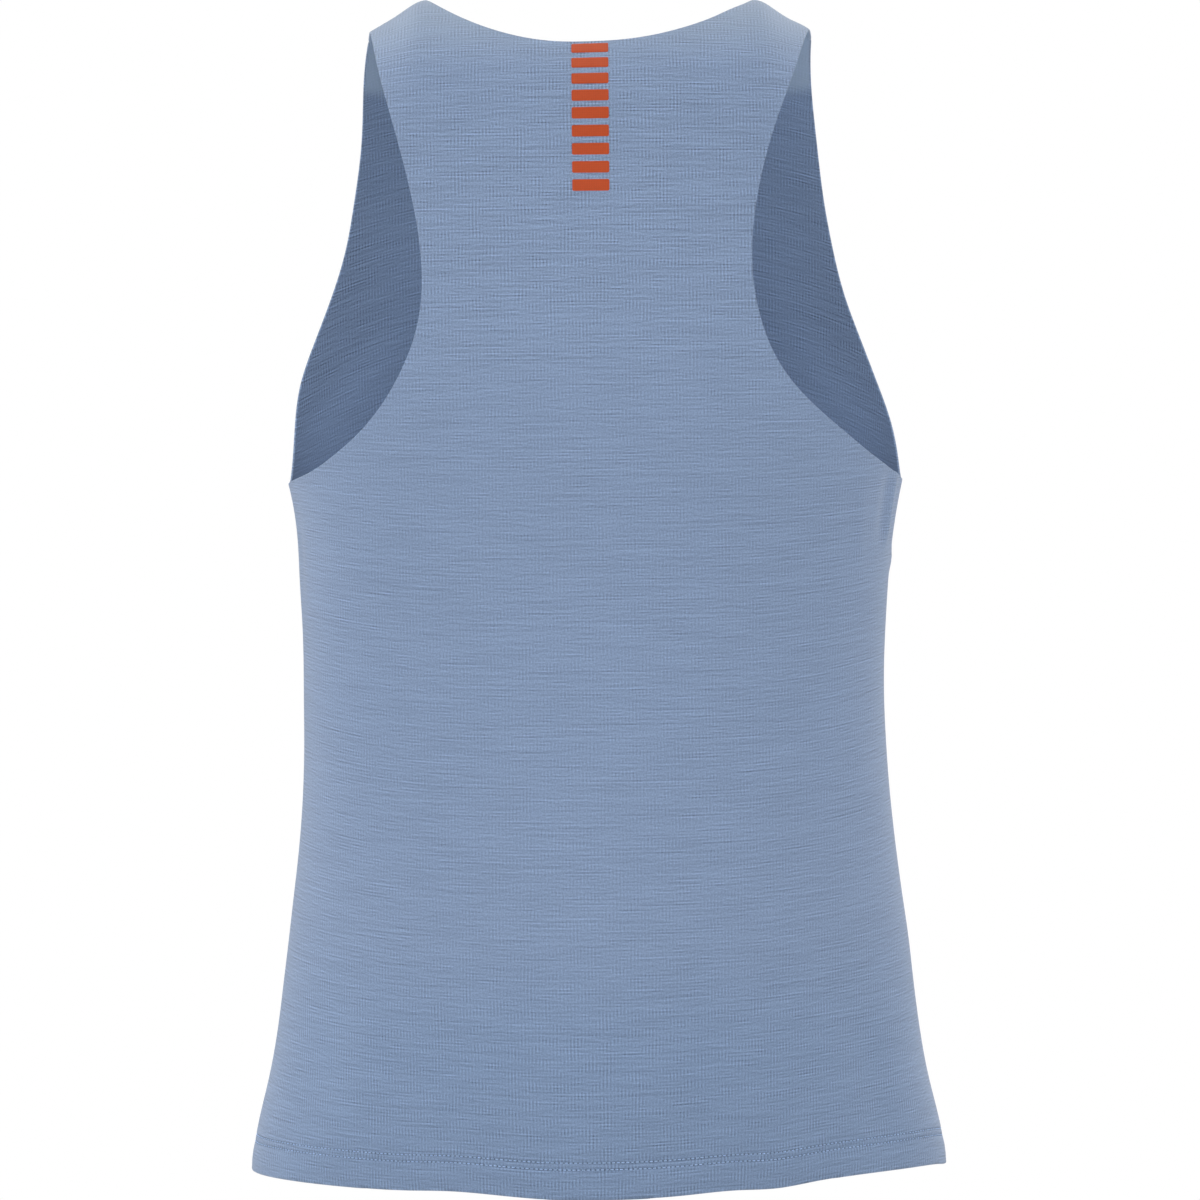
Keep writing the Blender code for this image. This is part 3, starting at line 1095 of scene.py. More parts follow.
@dataclass
class Panel:
    """One panel of the tank: a thin shell with an outer and an inner skin."""

    name: str
    node: str
    pattern: Pattern
    outer_finish: bpy.types.Material
    inner_finish: bpy.types.Material
    flat: tuple[float, float]
    flat_area: float
    hem_turn_up: float = 0.0180
    hem_turn_step: float = 0.0006
    thickness: float = 0.0011
    rim_steps: int = 3
    edge_tolerance: float = 1e-4
    underarm_tolerance: float = 1e-5
    side_seam_reach: float = 0.001

    def finish_of(self, angle: Array, level: Array) -> Array:
        """How far the rim stands out at each border place, as a share of the thickness.

        Args:
            angle: angles from the wearer's left side seam.
            level: levels in the pattern plane.

        Returns:
            A share for each place.
        """
        form = self.pattern.form
        half_width = form.half_width(level)
        x = half_width * np.cos(angle)
        above_hem = level - form.hem_level(angle)
        below_arm = level <= form.underarm_height + self.underarm_tolerance
        from_side = half_width * np.minimum(angle, math.pi - angle)
        side_seam = below_arm & (from_side < self.side_seam_reach)
        beside_neck = np.abs(x) > form.neck_half_width - self.edge_tolerance
        off_seam = np.abs(level - self.pattern.seam_level(x))
        shoulder = (off_seam < self.edge_tolerance) & beside_neck
        bulge = np.full(len(angle), Finish.CLEAN.value)
        bulge[above_hem < self.edge_tolerance] = Finish.FOLD.value
        bulge[side_seam | shoulder] = Finish.SEAM.value
        return bulge

    def build(self) -> bpy.types.Object:
        """Builds the panel with its skins, rim and turned-up hem.

        Returns:
            The finished piece, which stands in place of its plain node, now hidden.
        """
        grid = self.pattern.lay_out()
        angle, level = np.concatenate(grid.angles), np.concatenate(grid.levels)
        above_hem = level - self.pattern.form.hem_level(angle)
        border = grid.border()
        rim = np.array(border.vertices)
        points = self._points(angle, level, above_hem, border)
        faces, slots = self._faces(grid, border)
        piece = new_object(self.name, points, faces, [self.outer_finish, self.inner_finish], slots)
        across, up = self.pattern.cloth_map(angle, level)
        write_cloth_map(piece, self._everywhere(across, rim), self._everywhere(up, rim))
        heights = piece.data.attributes.new("hem_height", "FLOAT", "POINT")
        heights.data.foreach_set("value", self._everywhere(above_hem, rim).astype(np.float32))
        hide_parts(self.node)
        return piece

    def _points(self, angle: Array, level: Array, above_hem: Array, border: Border) -> Array:
        """All points: the outer skin, the inner skin, then the rim's rows from outside in.

        Args:
            angle: angles from the wearer's left side seam.
            level: levels in the pattern plane.
            above_hem: distances above the hem edge.
            border: the panel's border.

        Returns:
            The points, in the order of their numbers.
        """
        outer, normal = self.pattern.drape.place(angle, level, self.pattern.side)
        raw_edge = self.hem_turn_up + self.hem_turn_step
        turned_up = smooth_step(raw_edge + self.hem_turn_step, raw_edge, above_hem)
        wall = self.thickness * (1 + turned_up)
        inner = outer - normal * wall[:, None]
        rim = np.array(border.vertices)
        away = border.away(outer, normal)
        bulge = self.finish_of(angle[rim], level[rim]) * wall[rim]
        middle = (outer[rim] + inner[rim]) / 2
        layers = [outer, inner]
        for step in range(1, self.rim_steps + 1):
            turn = math.pi * step / (self.rim_steps + 1)
            out = np.cos(turn) * wall[rim][:, None] / 2 * normal[rim]
            layers.append(middle + out + np.sin(turn) * bulge[:, None] * away)
        return np.concatenate(layers)

    def _faces(self, grid: PatternGrid, border: Border) -> tuple[list[list[int]], Array]:
        """All faces and their material slots: 0 for the outer skin and rim, 1 for the inner.

        Args:
            grid: the laid-out panel.
            border: its border.

        Returns:
            The faces, and a slot for each.
        """
        skin, count, rim = grid.faces(), grid.count, np.array(border.vertices)
        rows = [rim]
        for step in range(self.rim_steps):
            rows.append(2 * count + step * len(rim) + np.arange(len(rim)))
        rows.append(count + rim)
        starts, ends = border.numbers().T
        faces = [skin, (skin + count)[:, ::-1]]
        for near, far in zip(rows[:-1], rows[1:]):
            faces.append(np.stack([near[ends], near[starts], far[starts], far[ends]], axis=1))
        slots = np.zeros(sum(map(len, faces)), np.int32)
        slots[len(skin) : 2 * len(skin)] = 1
        return np.concatenate(faces).tolist(), slots

    def _everywhere(self, values: Array, rim: Array) -> Array:
        """Values of the outer skin's points, given to the points of the whole piece."""
        return np.concatenate([values, values] + [values[rim]] * self.rim_steps)


# -------------------------------------------------------------------- stitching


@dataclass(frozen=True)
class Thread:
    """A stitch's own sizes."""

    length: float
    radius: float
    height: float
    sides: int = 6
    rings: tuple[tuple[float, float], ...] = (
        (0.0, 0.45),
        (0.14, 0.85),
        (0.38, 1.0),
        (0.62, 1.0),
        (0.86, 0.85),
        (1.0, 0.45),
    )


def tube_faces(rings: int, sides: int, closed: bool) -> list[list[int]]:
    """Faces of a tube numbered ring by ring, which has two caps unless it is closed.

    Args:
        rings: how many rings of points the tube has.
        sides: how many points each ring has.
        closed: True if the last ring joins the first.

    Returns:
        The faces as vertex numbers.
    """
    faces = []
    for ring in range(rings if closed else rings - 1):
        here, there = ring * sides, (ring + 1) % rings * sides
        for k in range(sides):
            after = (k + 1) % sides
            faces.append([here + k, here + after, there + after, there + k])
    if not closed:
        faces.append(list(range(sides))[::-1])
        faces.append([(rings - 1) * sides + k for k in range(sides)])
    return faces


def stitch_meshes(
    places: Array, along: Array, out: Array, thread: Thread
) -> tuple[Array, list[list[int]]]:
    """Points and faces of many short stitches, each a rounded arch of thread.

    Args:
        places: the stitches' middles, on the cloth.
        along: unit directions in which they run.
        out: unit directions away from the cloth.
        thread: the stitch's sizes.

    Returns:
        The points of all stitches, and their faces.
    """
    aside = np.cross(along, out)
    turns = np.linspace(0, 2 * math.pi, thread.sides, endpoint=False)
    rings = []
    for share, width in thread.rings:
        arch = math.sin(math.pi * share) * thread.height
        centre = places + along * (share - 0.5) * thread.length + out * arch
        radius = thread.radius * width
        rings += [centre + aside * math.cos(t) * radius + out * math.sin(t) * radius for t in turns]
    points = np.stack(rings, axis=1).reshape(-1, 3)
    template = tube_faces(len(thread.rings), thread.sides, closed=False)
    faces = [[i * len(rings) + v for v in face] for i in range(len(places)) for face in template]
    return points, faces


def closed_tube(path: Array, radius: float, sides: int) -> tuple[Array, list[list[int]]]:
    """Points and faces of a thin tube along a path that runs back into its start.

    Args:
        path: the centre line's points.
        radius: the tube's radius.
        sides: how many sides it has.

    Returns:
        The tube's points and faces.
    """
    tangent = unit(np.roll(path, -1, axis=0) - np.roll(path, 1, axis=0))
    aside = unit(np.cross(tangent, np.array([0.0, 0.0, 1.0])))
    out = np.cross(aside, tangent)
    turns = np.linspace(0, 2 * math.pi, sides, endpoint=False)
    rings = [path + radius * (aside * math.cos(t) + out * math.sin(t)) for t in turns]
    return np.stack(rings, axis=1).reshape(-1, 3), tube_faces(len(path), sides, closed=True)


@dataclass
class HemStitching:
    """The two rows of coverstitch round the hem, with their loops inside."""

    drape: Drape
    finish: bpy.types.Material
    pitch: float = 0.0024
    thread: Thread = Thread(length=0.0018, radius=0.00029, height=0.00032)
    upper_row_shift: float = 0.35
    loop_radius: float = 0.00017
    loop_sides: int = 5
    loop_below_rows: float = 0.0004
    loop_above_rows: float = 0.0022
    samples: int = 4000

    def ring(self, above_hem: float, lift: float) -> tuple[Array, Array]:
        """Points and normals once round the tank at one distance above the hem.

        Args:
            above_hem: the distance above the hem edge.
            lift: the distance out from the cloth.

        Returns:
            The points and the normals.
        """
        half = np.linspace(0, math.pi, self.samples // 2, endpoint=False)
        points, normals = [], []
        for side, angle in ((Side.BACK, half), (Side.FRONT, math.pi - half)):
            level = self.drape.form.hem_level(angle) + above_hem
            place, normal = self.drape.place(angle, level, side, lift)
            points.append(place)
            normals.append(normal)
        return np.concatenate(points), np.concatenate(normals)

    def spread(self, points: Array, normals: Array, shift: float) -> tuple[Array, Array, Array]:
        """Spreads places evenly round a closed line, a stitch apart.

        Args:
            points: the line's points.
            normals: the normals there.
            shift: how far the first place lies along the line, as a share of a stitch.

        Returns:
            The places, the directions of the line there and the normals.
        """
        closed = np.concatenate([points, points[:1]])
        around = np.concatenate([normals, normals[:1]])
        lengths = np.concatenate([[0], np.cumsum(np.linalg.norm(np.diff(closed, axis=0), axis=1))])
        count = int(lengths[-1] / self.pitch)
        wanted = (np.arange(count) + shift) * lengths[-1] / count
        places = np.stack([np.interp(wanted, lengths, column) for column in closed.T], axis=1)
        out = unit(np.stack([np.interp(wanted, lengths, column) for column in around.T], axis=1))
        ahead = np.roll(places, -1, axis=0) - np.roll(places, 1, axis=0)
        along = unit(ahead - out * np.sum(ahead * out, axis=1, keepdims=True))
        return places, along, out

    def build_rows(self) -> bpy.types.Object:
        """The needle threads outside: two rows of short stitches.

        Returns:
            The finished piece.
        """
        points, faces = np.empty((0, 3)), []
        for row, shift in zip(self.drape.stitch_rows, (0.0, self.upper_row_shift)):
            stitches = self.spread(*self.ring(row, 0.0), shift)
            row_points, row_faces = stitch_meshes(*stitches, self.thread)
            faces += [[v + len(points) for v in face] for face in row_faces]
            points = np.concatenate([points, row_points])
        return self._piece("hem_needle_rows", points, faces)

    def build_loops(self, thickness: float) -> bpy.types.Object:
        """The looper thread inside, zigzagging between the rows over the cloth's raw edge.

        Args:
            thickness: the thickness of the cloth, which is double in the hem.

        Returns:
            The finished piece.
        """
        lower, upper = self.drape.stitch_rows
        doubled = -2 * thickness - self.loop_radius
        low, normals = self.ring(lower - self.loop_below_rows, doubled)
        high, _ = self.ring(upper + self.loop_above_rows, -thickness - self.loop_radius)
        middle, _ = self.ring((lower + upper) / 2, doubled - self.loop_radius)
        turns = ((low, 0.0), (middle, 0.25), (high, 0.5), (middle, 0.75))
        tracks = [self.spread(line, normals, shift)[0] for line, shift in turns]
        count = min(len(track) for track in tracks)
        path = np.stack([track[:count] for track in tracks], axis=1).reshape(-1, 3)
        return self._piece("hem_loops", *closed_tube(path, self.loop_radius, self.loop_sides))

    def _piece(self, name: str, points: Array, faces: list[list[int]]) -> bpy.types.Object:
        """One piece of thread.

        Args:
            name: the piece's name.
            points: its vertices.
            faces: its faces.

        Returns:
            The piece.
        """
        piece = new_object(name, points, faces, [self.finish])
        return piece


# ------------------------------------------------------------------------ print


@dataclass
class PrintColumn:
    """The column of short printed bars under the centre back neck."""

    pattern: Pattern
    finish: bpy.types.Material
    count: int = 9
    width: float = 0.019
    height: float = 0.006
    pitch: float = 0.0093
    top_below_neck: float = 0.0015
    film: float = 0.00028
    film_at_edge: float = 0.25
    edge_roll: float = 0.00035
    sunk: float = 0.00015
    corner: float = 0.0009
    edge_lines: tuple[float, ...] = (1.0, 0.985, 0.95)
    columns: int = 24
    inner_columns: float = 0.9
    rows: int = 10
    inner_rows: float = 0.82

    def _lines(self, inner: float, count: int) -> Array:
        """Places of the grid's lines from -1 to 1, crowded near both ends."""
        edge = np.array(self.edge_lines)
        return np.concatenate([-edge, np.linspace(-inner, inner, count), edge[::-1]])

    def _outline(self, across: Array, up: Array) -> tuple[Array, Array]:
        """Pulls a unit grid's corners in to the bar's corner radius.

        Args:
            across: places from -1 to 1 across the bar.
            up: places from -1 to 1 up the bar.

        Returns:
            The places in metres from the bar's middle.
        """
        x, y = across * self.width / 2, up * self.height / 2
        inner_x, inner_y = self.width / 2 - self.corner, self.height / 2 - self.corner
        beyond_x, beyond_y = np.abs(x) - inner_x, np.abs(y) - inner_y
        corner = (beyond_x > 0) & (beyond_y > 0)
        reach = np.hypot(beyond_x, beyond_y)
        furthest = np.maximum(beyond_x, beyond_y)
        scale = np.where(corner, furthest / np.maximum(reach, 1e-9), 1.0)
        x = np.where(corner, np.sign(x) * (inner_x + beyond_x * scale), x)
        y = np.where(corner, np.sign(y) * (inner_y + beyond_y * scale), y)
        return x, y

    def build(self) -> list[bpy.types.Object]:
        """Builds each bar as a closed film on the cloth.

        Returns:
            The bars, from the top.
        """
        form, drape = self.pattern.form, self.pattern.drape
        neck = float(self.pattern.neckline(np.array(0.0))[1])
        across = self._lines(self.inner_columns, self.columns)
        up = self._lines(self.inner_rows, self.rows)
        x, y = self._outline(*np.meshgrid(across, up))
        to_edge = np.minimum(self.width / 2 - np.abs(x), self.height / 2 - np.abs(y))
        full = smooth_step(0.0, self.edge_roll, to_edge)
        lift = self.film * (self.film_at_edge + (1 - self.film_at_edge) * full)
        columns, rows = len(across), len(up)
        numbers = np.arange(columns * rows).reshape(rows, columns)
        top = np.stack(
            [numbers[:-1, 1:], numbers[:-1, :-1], numbers[1:, :-1], numbers[1:, 1:]], axis=-1
        ).reshape(-1, 4)
        ring = np.concatenate(
            [numbers[0, :], numbers[1:, -1], numbers[-1, -2::-1], numbers[-2:0:-1, 0]]
        )
        pieces = []
        for i in range(self.count):
            level = neck - self.top_below_neck - self.height / 2 - i * self.pitch + y
            angle = form.angle_at(x, level)
            face, _ = drape.place(angle, level, Side.BACK, lift)
            under, _ = drape.place(angle, level, Side.BACK, -self.sunk)
            base = columns * rows
            faces = [*top.tolist(), *(top[:, ::-1] + base).tolist()]
            for a, b in zip(ring, np.roll(ring, -1)):
                faces.append([int(a), int(b), int(b) + base, int(a) + base])
            points = np.concatenate([face.reshape(-1, 3), under.reshape(-1, 3)])
            piece = new_object(f"print_bar_{i + 1}", points, faces, [self.finish])
            write_cloth_map(piece, np.tile(x.ravel(), 2), np.tile((y - i * self.pitch).ravel(), 2))
            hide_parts(f"transfer_bar_{i + 1}")
            pieces.append(piece)
        return pieces


# --------------------------------------------------------------------- finishes


class Signal:
    """A number that varies over a surface. Arithmetic on it adds Math nodes."""

    def __init__(self, shop: "NodeShop", socket: bpy.types.NodeSocket) -> None:
        """Wraps an output socket of the shop's material."""
        self.shop = shop
        self.socket = socket

    def __add__(self, other: "Signal | float") -> "Signal":
        """Sum."""
        return self.shop.math("ADD", self, other)

    __radd__ = __add__

    def __sub__(self, other: "Signal | float") -> "Signal":
        """Difference."""
        return self.shop.math("SUBTRACT", self, other)

    def __rsub__(self, other: float) -> "Signal":
        """Difference from a number."""
        return self.shop.math("SUBTRACT", other, self)

    def __mul__(self, other: "Signal | float") -> "Signal":
        """Product."""
        return self.shop.math("MULTIPLY", self, other)

    __rmul__ = __mul__

    def cosine(self) -> "Signal":
        """Cosine of the value in radians."""
        return self.shop.math("COSINE", self)

    def floor(self) -> "Signal":
        """The whole number below."""
        return self.shop.math("FLOOR", self)

    def absolute(self) -> "Signal":
        """The size without its sign."""
        return self.shop.math("ABSOLUTE", self)

    def step(self, low: float, high: float) -> "Signal":
        """A soft step from 0 at low to 1 at high, or downwards if high is the lower.

        Args:
            low: where it is 0.
            high: where it is 1.

        Returns:
            The step's signal.
        """
        node = self.shop.node(
            "ShaderNodeMapRange",
            {"interpolation_type": "SMOOTHSTEP", "clamp": True},
            {"Value": self, "From Min": low, "From Max": high, "To Min": 0.0, "To Max": 1.0},
        )
        return Signal(self.shop, node.outputs["Result"])


class Grain(NamedTuple):
    """The size of a mottling's patches in millimetres, across the ribs and up the courses."""

    across: float
    up: float


class NodeShop:
    """The nodes of one material or sky."""

    def __init__(self, owner: bpy.types.Material | bpy.types.World) -> None:
        """Opens the owner's nodes.

        Args:
            owner: the material or sky.
        """
        owner.use_nodes = True
        self.owner = owner
        self.tree = owner.node_tree

    def node(
        self,
        kind: str,
        settings: dict[str, Any] | None = None,
        inputs: dict[Any, Any] | None = None,
    ) -> bpy.types.Node:
        """Adds a node.

        Args:
            kind: the node's type.
            settings: its properties, set first.
            inputs: values or links of its sockets, by name or number.

        Returns:
            The node.
        """
        node = self.tree.nodes.new(kind)
        for key, value in (settings or {}).items():
            setattr(node, key, value)
        for key, value in (inputs or {}).items():
            self.feed(node.inputs[key], value)
        return node

    def feed(self, socket: bpy.types.NodeSocket, value: Any) -> None:
        """Links a signal or an output to a socket, or sets its value.

        Args:
            socket: the input socket.
            value: a signal, output socket, number or colour.
        """
        if isinstance(value, Signal):
            self.tree.links.new(value.socket, socket)
        elif isinstance(value, bpy.types.NodeSocket):
            self.tree.links.new(value, socket)
        elif isinstance(value, tuple) and len(value) == 3 and socket.type == "RGBA":
            socket.default_value = (*value, 1.0)
        else:
            socket.default_value = value

    def math(self, operation: str, *values: Signal | float) -> Signal:
        """A Math node on signals and numbers."""
        node = self.node("ShaderNodeMath", {"operation": operation}, dict(enumerate(values)))
        return Signal(self, node.outputs[0])

    def cloth_place(self) -> tuple[Signal, Signal]:
        """The cloth map's two coordinates, in millimetres.

        Returns:
            The distances across and up.
        """
        source = self.node("ShaderNodeUVMap", {"uv_map": "cloth"})
        parts = self.node("ShaderNodeSeparateXYZ", inputs={0: source.outputs[0]})
        across, up = (Signal(self, parts.outputs[i]) * (1 / MILLIMETRE) for i in (0, 1))
        return across, up

    def object_height(self) -> Signal:
        """The height of the place itself, in millimetres.

        Returns:
            The height's signal.
        """
        source = self.node("ShaderNodeTexCoord")
        parts = self.node("ShaderNodeSeparateXYZ", inputs={0: source.outputs["Object"]})
        return Signal(self, parts.outputs[2]) * (1 / MILLIMETRE)

    def hem_height(self) -> Signal:
        """The distance above the hem edge, in millimetres."""
        source = self.node("ShaderNodeAttribute", {"attribute_name": "hem_height"})
        return Signal(self, source.outputs["Fac"]) * (1 / MILLIMETRE)

    def noise(self, x: Signal | float, y: Signal | float, detail: float = 0.0) -> Signal:
        """Smooth noise of two coordinates, about 0.5, with features one unit across.

        Args:
            x: the first coordinate.
            y: the second.
            detail: how many finer layers it has.

        Returns:
            The noise's signal.
        """
        place = self.node("ShaderNodeCombineXYZ", inputs={0: x, 1: y})
        node = self.node(
            "ShaderNodeTexNoise",
            {"noise_dimensions": "2D"},
            {"Vector": place.outputs[0], "Scale": 1.0, "Detail": detail, "Roughness": 0.5},
        )
        return Signal(self, node.outputs[0])

    def mottle(self, across: Signal, up: Signal, grain: Grain, detail: float = 0.0) -> Signal:
        """Smooth noise on the cloth, about 0.5, with patches of the given grain."""
        return self.noise(across * (1 / grain.across), up * (1 / grain.up), detail)

    def mix(self, factor: Signal, first: Any, second: Any) -> bpy.types.NodeSocket:
        """A colour between two colours.

        Args:
            factor: the share of the second colour.
            first: a colour or its socket.
            second: a colour or its socket.

        Returns:
            The mixed colour's socket.
        """
        node = self.node("ShaderNodeMix", {"data_type": "RGBA", "clamp_factor": True})
        self.feed(node.inputs[0], factor)
        self.feed(node.inputs[6], first)
        self.feed(node.inputs[7], second)
        return node.outputs[2]

    def bump(self, height: Signal, distance: float, strength: float) -> bpy.types.NodeSocket:
        """A normal shaped by a height signal.

        Args:
            height: the relief, in units of the distance.
            distance: how high one unit stands, in metres.
            strength: how much of the relief shows, as a share.

        Returns:
            The normal's socket.
        """
        node = self.node(
            "ShaderNodeBump",
            inputs={"Height": height, "Distance": distance, "Strength": strength},
        )
        return node.outputs["Normal"]

    def paint(self, inputs: dict[str, Any]) -> bpy.types.Material:
        """Feeds the sockets of the material's Principled shader and returns the material.

        Args:
            inputs: values or links by socket name.

        Returns:
            The material.
        """
        shader = self.tree.nodes["Principled BSDF"]
        for name, value in inputs.items():
            self.feed(shader.inputs[name], value)
        return self.owner

    def show_camera(self, seen: bpy.types.Node, unseen: bpy.types.Node) -> None:
        """Shows the camera one shader, while the other takes part in lighting the scene.

        Args:
            seen: the shader that the camera sees.
            unseen: the shader that lights the scene.
        """
        ray = self.node("ShaderNodeLightPath")
        shaders = {0: ray.outputs["Is Camera Ray"], 1: unseen.outputs[0], 2: seen.outputs[0]}
        mix = self.node("ShaderNodeMixShader", inputs=shaders)
        self.feed(self.tree.get_output_node("ALL").inputs["Surface"], mix.outputs[0])


def scaled(colour: Colour, factor: float) -> Colour:
    """A colour made lighter or darker."""
    return (colour[0] * factor, colour[1] * factor, colour[2] * factor)


class Zone(NamedTuple):
    """Where an effect sets in along a measure, and where it is full."""

    start: float
    full: float


class Gain(NamedTuple):
    """How much stronger an effect is near the hem and near the shoulders, as a share."""

    hem: float
    shoulders: float


class Streaks(NamedTuple):
    """Thick and thin stretches of yarn: their length in millimetres and their strength.

    The skew shifts the courses against each other, so that their streaks don't line up.
    """

    length: float
    skew: float
    strength: float


class Ground(NamedTuple):
    """A point of the knitted cloth: lengths in millimetres, and how near it lies as a share."""

    shop: NodeShop
    across: Signal
    up: Signal
    near_hem: Signal
    near_shoulders: Signal
    rolled: Signal

    def gain(self, gain: Gain) -> Signal:
        """A factor of one that grows towards the hem and the shoulders."""
        return self.near_hem * gain.hem + self.near_shoulders * gain.shoulders + 1.0

    def mottle(self, grain: Grain) -> Signal:
        """Smooth noise about 0.5 with patches of the given grain."""
        return self.shop.mottle(self.across, self.up, grain)


@dataclass(frozen=True)
class KnitFinish:
    """Heathered jersey: fine ribs and courses, thick-and-thin streaks and soft bands.

    Pitches, grains and zones are in millimetres. Strengths are shares of the contrast.
    """

    name: str
    base: Colour
    contrast: float = 0.50
    hem_zone: Zone = Zone(140, 60)
    shoulder_zone: Zone = Zone(380, 480)
    side_zone: Zone = Zone(165, 238)
    rib_pitch: float = 1.82
    rib_lean: float = 2.6
    rib_lean_grain: Grain = Grain(25, 16)
    rib_patch_grain: Grain = Grain(8, 4.5)
    rib_patch: Zone = Zone(0.38, 0.72)
    rib_least: float = 0.25
    rib_gain: Gain = Gain(0.95, 0.85)
    ribs: float = 0.086
    course_pitch: float = 0.80
    course_wander: float = 0.7
    course_grain: Grain = Grain(70, 11)
    course_skew: float = 1.73
    long_streaks: Streaks = Streaks(42.0, 3.1, 0.34)
    short_streaks: Streaks = Streaks(7.0, 5.3, 0.29)
    streak_gain: Gain = Gain(0.10, 0.25)
    streak_loss_at_sides: float = 0.40
    courses_in_band: int = 3
    band_length: float = 34.0
    band_skew: tuple[float, float] = (2.3, 1.37)
    band_gain: float = 0.3
    bands: float = 0.15
    fleck_grain: Grain = Grain(0.75, 0.65)
    flecks: float = 0.46
    stitch_rows: tuple[float, float] = (14.5, 18.0)
    # painted shade along the stitch rows, where the grooves fall into shadow, deeper at the sides
    stitch_groove: Zone = Zone(0.60, 0.20)
    stitch_shade: float = 0.50
    stitch_shade_at_sides: float = 0.6
    # painted shade: the lower middle of the cloth darker and bluer, as the light from above falls
    # off towards the hem
    hem_shade_tint: Colour = (0.05, 0.20, 0.42)
    hem_shade_share: float = 0.08
    # painted light and shade on the inside: lighter in the middle, where the back casts its shade,
    # darker out towards the armholes
    arm_shade: float = 0.0
    arm_zone: Zone = Zone(96, 150)
    arm_narrows: Zone = Zone(480, 410)
    arm_narrows_by: float = 60
    arm_middle: float = 0.4
    # painted light: a paler, greyer colour near the top, where more light falls on the shoulders
    top_light: float = 0.0
    top_light_zone: Zone = Zone(-46.0, -37.0)
    top_light_tint: Colour = (0.37, 0.47, 0.60)
    roughness: float = 0.88
    specular: float = 0.25
    sheen: float = 0.27
    sheen_roughness: float = 0.52
    sheen_tint: Colour = (1.0, 0.97, 0.93)
    relief: float = 0.09
    relief_strength: float = 0.6
    relief_of_ribs: float = 0.5
    relief_of_streaks: float = 1.2

    def _ground(self, shop: NodeShop) -> Ground:
        """Where a point lies on the cloth.

        Args:
            shop: the material's nodes.

        Returns:
            The point.
        """
        across, up = shop.cloth_place()
        near_hem, near_shoulders = up.step(*self.hem_zone), up.step(*self.shoulder_zone)
        rolled = across.absolute().step(*self.side_zone)
        return Ground(shop, across, up, near_hem, near_shoulders, rolled)

    def _ribs(self, ground: Ground) -> Signal:
        """Fine upright ribs, which lean a little and show in patches.

        Args:
            ground: the point of the cloth.

        Returns:
            The ribs' height from -1 to 1.
        """
        patch = ground.mottle(self.rib_patch_grain).step(*self.rib_patch) + self.rib_least
        lean = ground.mottle(self.rib_lean_grain) - 0.5
        turn = ground.across * (2 * math.pi / self.rib_pitch) + lean * self.rib_lean
        return turn.cosine() * patch * ground.gain(self.rib_gain)

    def _row(self, ground: Ground) -> Signal:
        """The number of the course, which wanders up and down a little."""
        wander = ground.mottle(self.course_grain) - 0.5
        return (ground.up * (1 / self.course_pitch) + wander * self.course_wander).floor()

    def _streaks(self, ground: Ground, row: Signal, streaks: Streaks) -> Signal:
        """Streaks one course high, each set off against the courses above and below.

        Args:
            ground: the point of the cloth.
            row: the number of the course.
            streaks: the kind of streak.

        Returns:
            The streaks' tone, about 0.
        """

        def tone(beside: float) -> Signal:
            """The yarn's tone a number of courses above."""
            place = ground.across * (1 / streaks.length) + (row + beside) * streaks.skew
            return ground.shop.noise(place, (row + beside) * self.course_skew)

        return tone(0.0) - (tone(1.0) + tone(-1.0)) * 0.5

    def _bands(self, ground: Ground, row: Signal) -> Signal:
        """Soft bands a few courses high.

        Args:
            ground: the point of the cloth.
            row: the number of the course.

        Returns:
            The bands' tone, about 0.
        """
        group = (row * (1 / self.courses_in_band)).floor()
        skew, step = self.band_skew
        place = ground.across * (1 / self.band_length) + group * skew
        gain = (ground.near_hem + ground.near_shoulders) * self.band_gain + 1.0
        return (ground.shop.noise(place, group * step, 1.0) - 0.5) * self.bands * gain

    def _shaded(self, ground: Ground, tone: Signal) -> Signal:
        """Paints shade into the tone: in the stitch grooves, and where asked, a gradient that is
        lighter in the middle and darker towards the armholes.

        Args:
            ground: the point of the cloth.
            tone: the tone so far.

        Returns:
            The tone with its painted shade and light.
        """
        hem = ground.shop.hem_height()
        # painted shade in the stitch grooves
        for height in self.stitch_rows:
            groove = (hem - height).absolute().step(*self.stitch_groove)
            shade = ground.rolled * self.stitch_shade_at_sides + self.stitch_shade
            tone = tone - groove * shade
        # painted light and shade that evens out the shade the back casts inside the armholes
        if self.arm_shade:
            narrower = ground.up.step(*self.arm_narrows) * self.arm_narrows_by
            outwards = (ground.across.absolute() - narrower).step(*self.arm_zone)
            tone = tone - (outwards - self.arm_middle) * self.arm_shade
        return tone

    def _tinted(self, ground: Ground, tone: Signal) -> bpy.types.NodeSocket:
        """The tone as a colour, with painted shade that makes the lower middle darker and bluer,
        and where asked painted light near the top.

        Args:
            ground: the point of the cloth.
            tone: the tone, about 0.

        Returns:
            The colour's socket.
        """
        shop = ground.shop
        colour = shop.mix(
            tone * (0.5 / self.contrast) + 0.5,
            scaled(self.base, 1 - self.contrast),
            scaled(self.base, 1 + self.contrast),
        )
        # painted shade, darker and bluer near the hem away from the sides
        lower_shade = ground.near_hem * (1.0 - ground.rolled) * self.hem_shade_share
        colour = shop.mix(lower_shade, colour, self.hem_shade_tint)
        # painted light near the top of the tank, where the shoulders catch more light
        if self.top_light:
            lit = shop.object_height().step(*self.top_light_zone) * self.top_light
            colour = shop.mix(lit, colour, self.top_light_tint)
        return colour

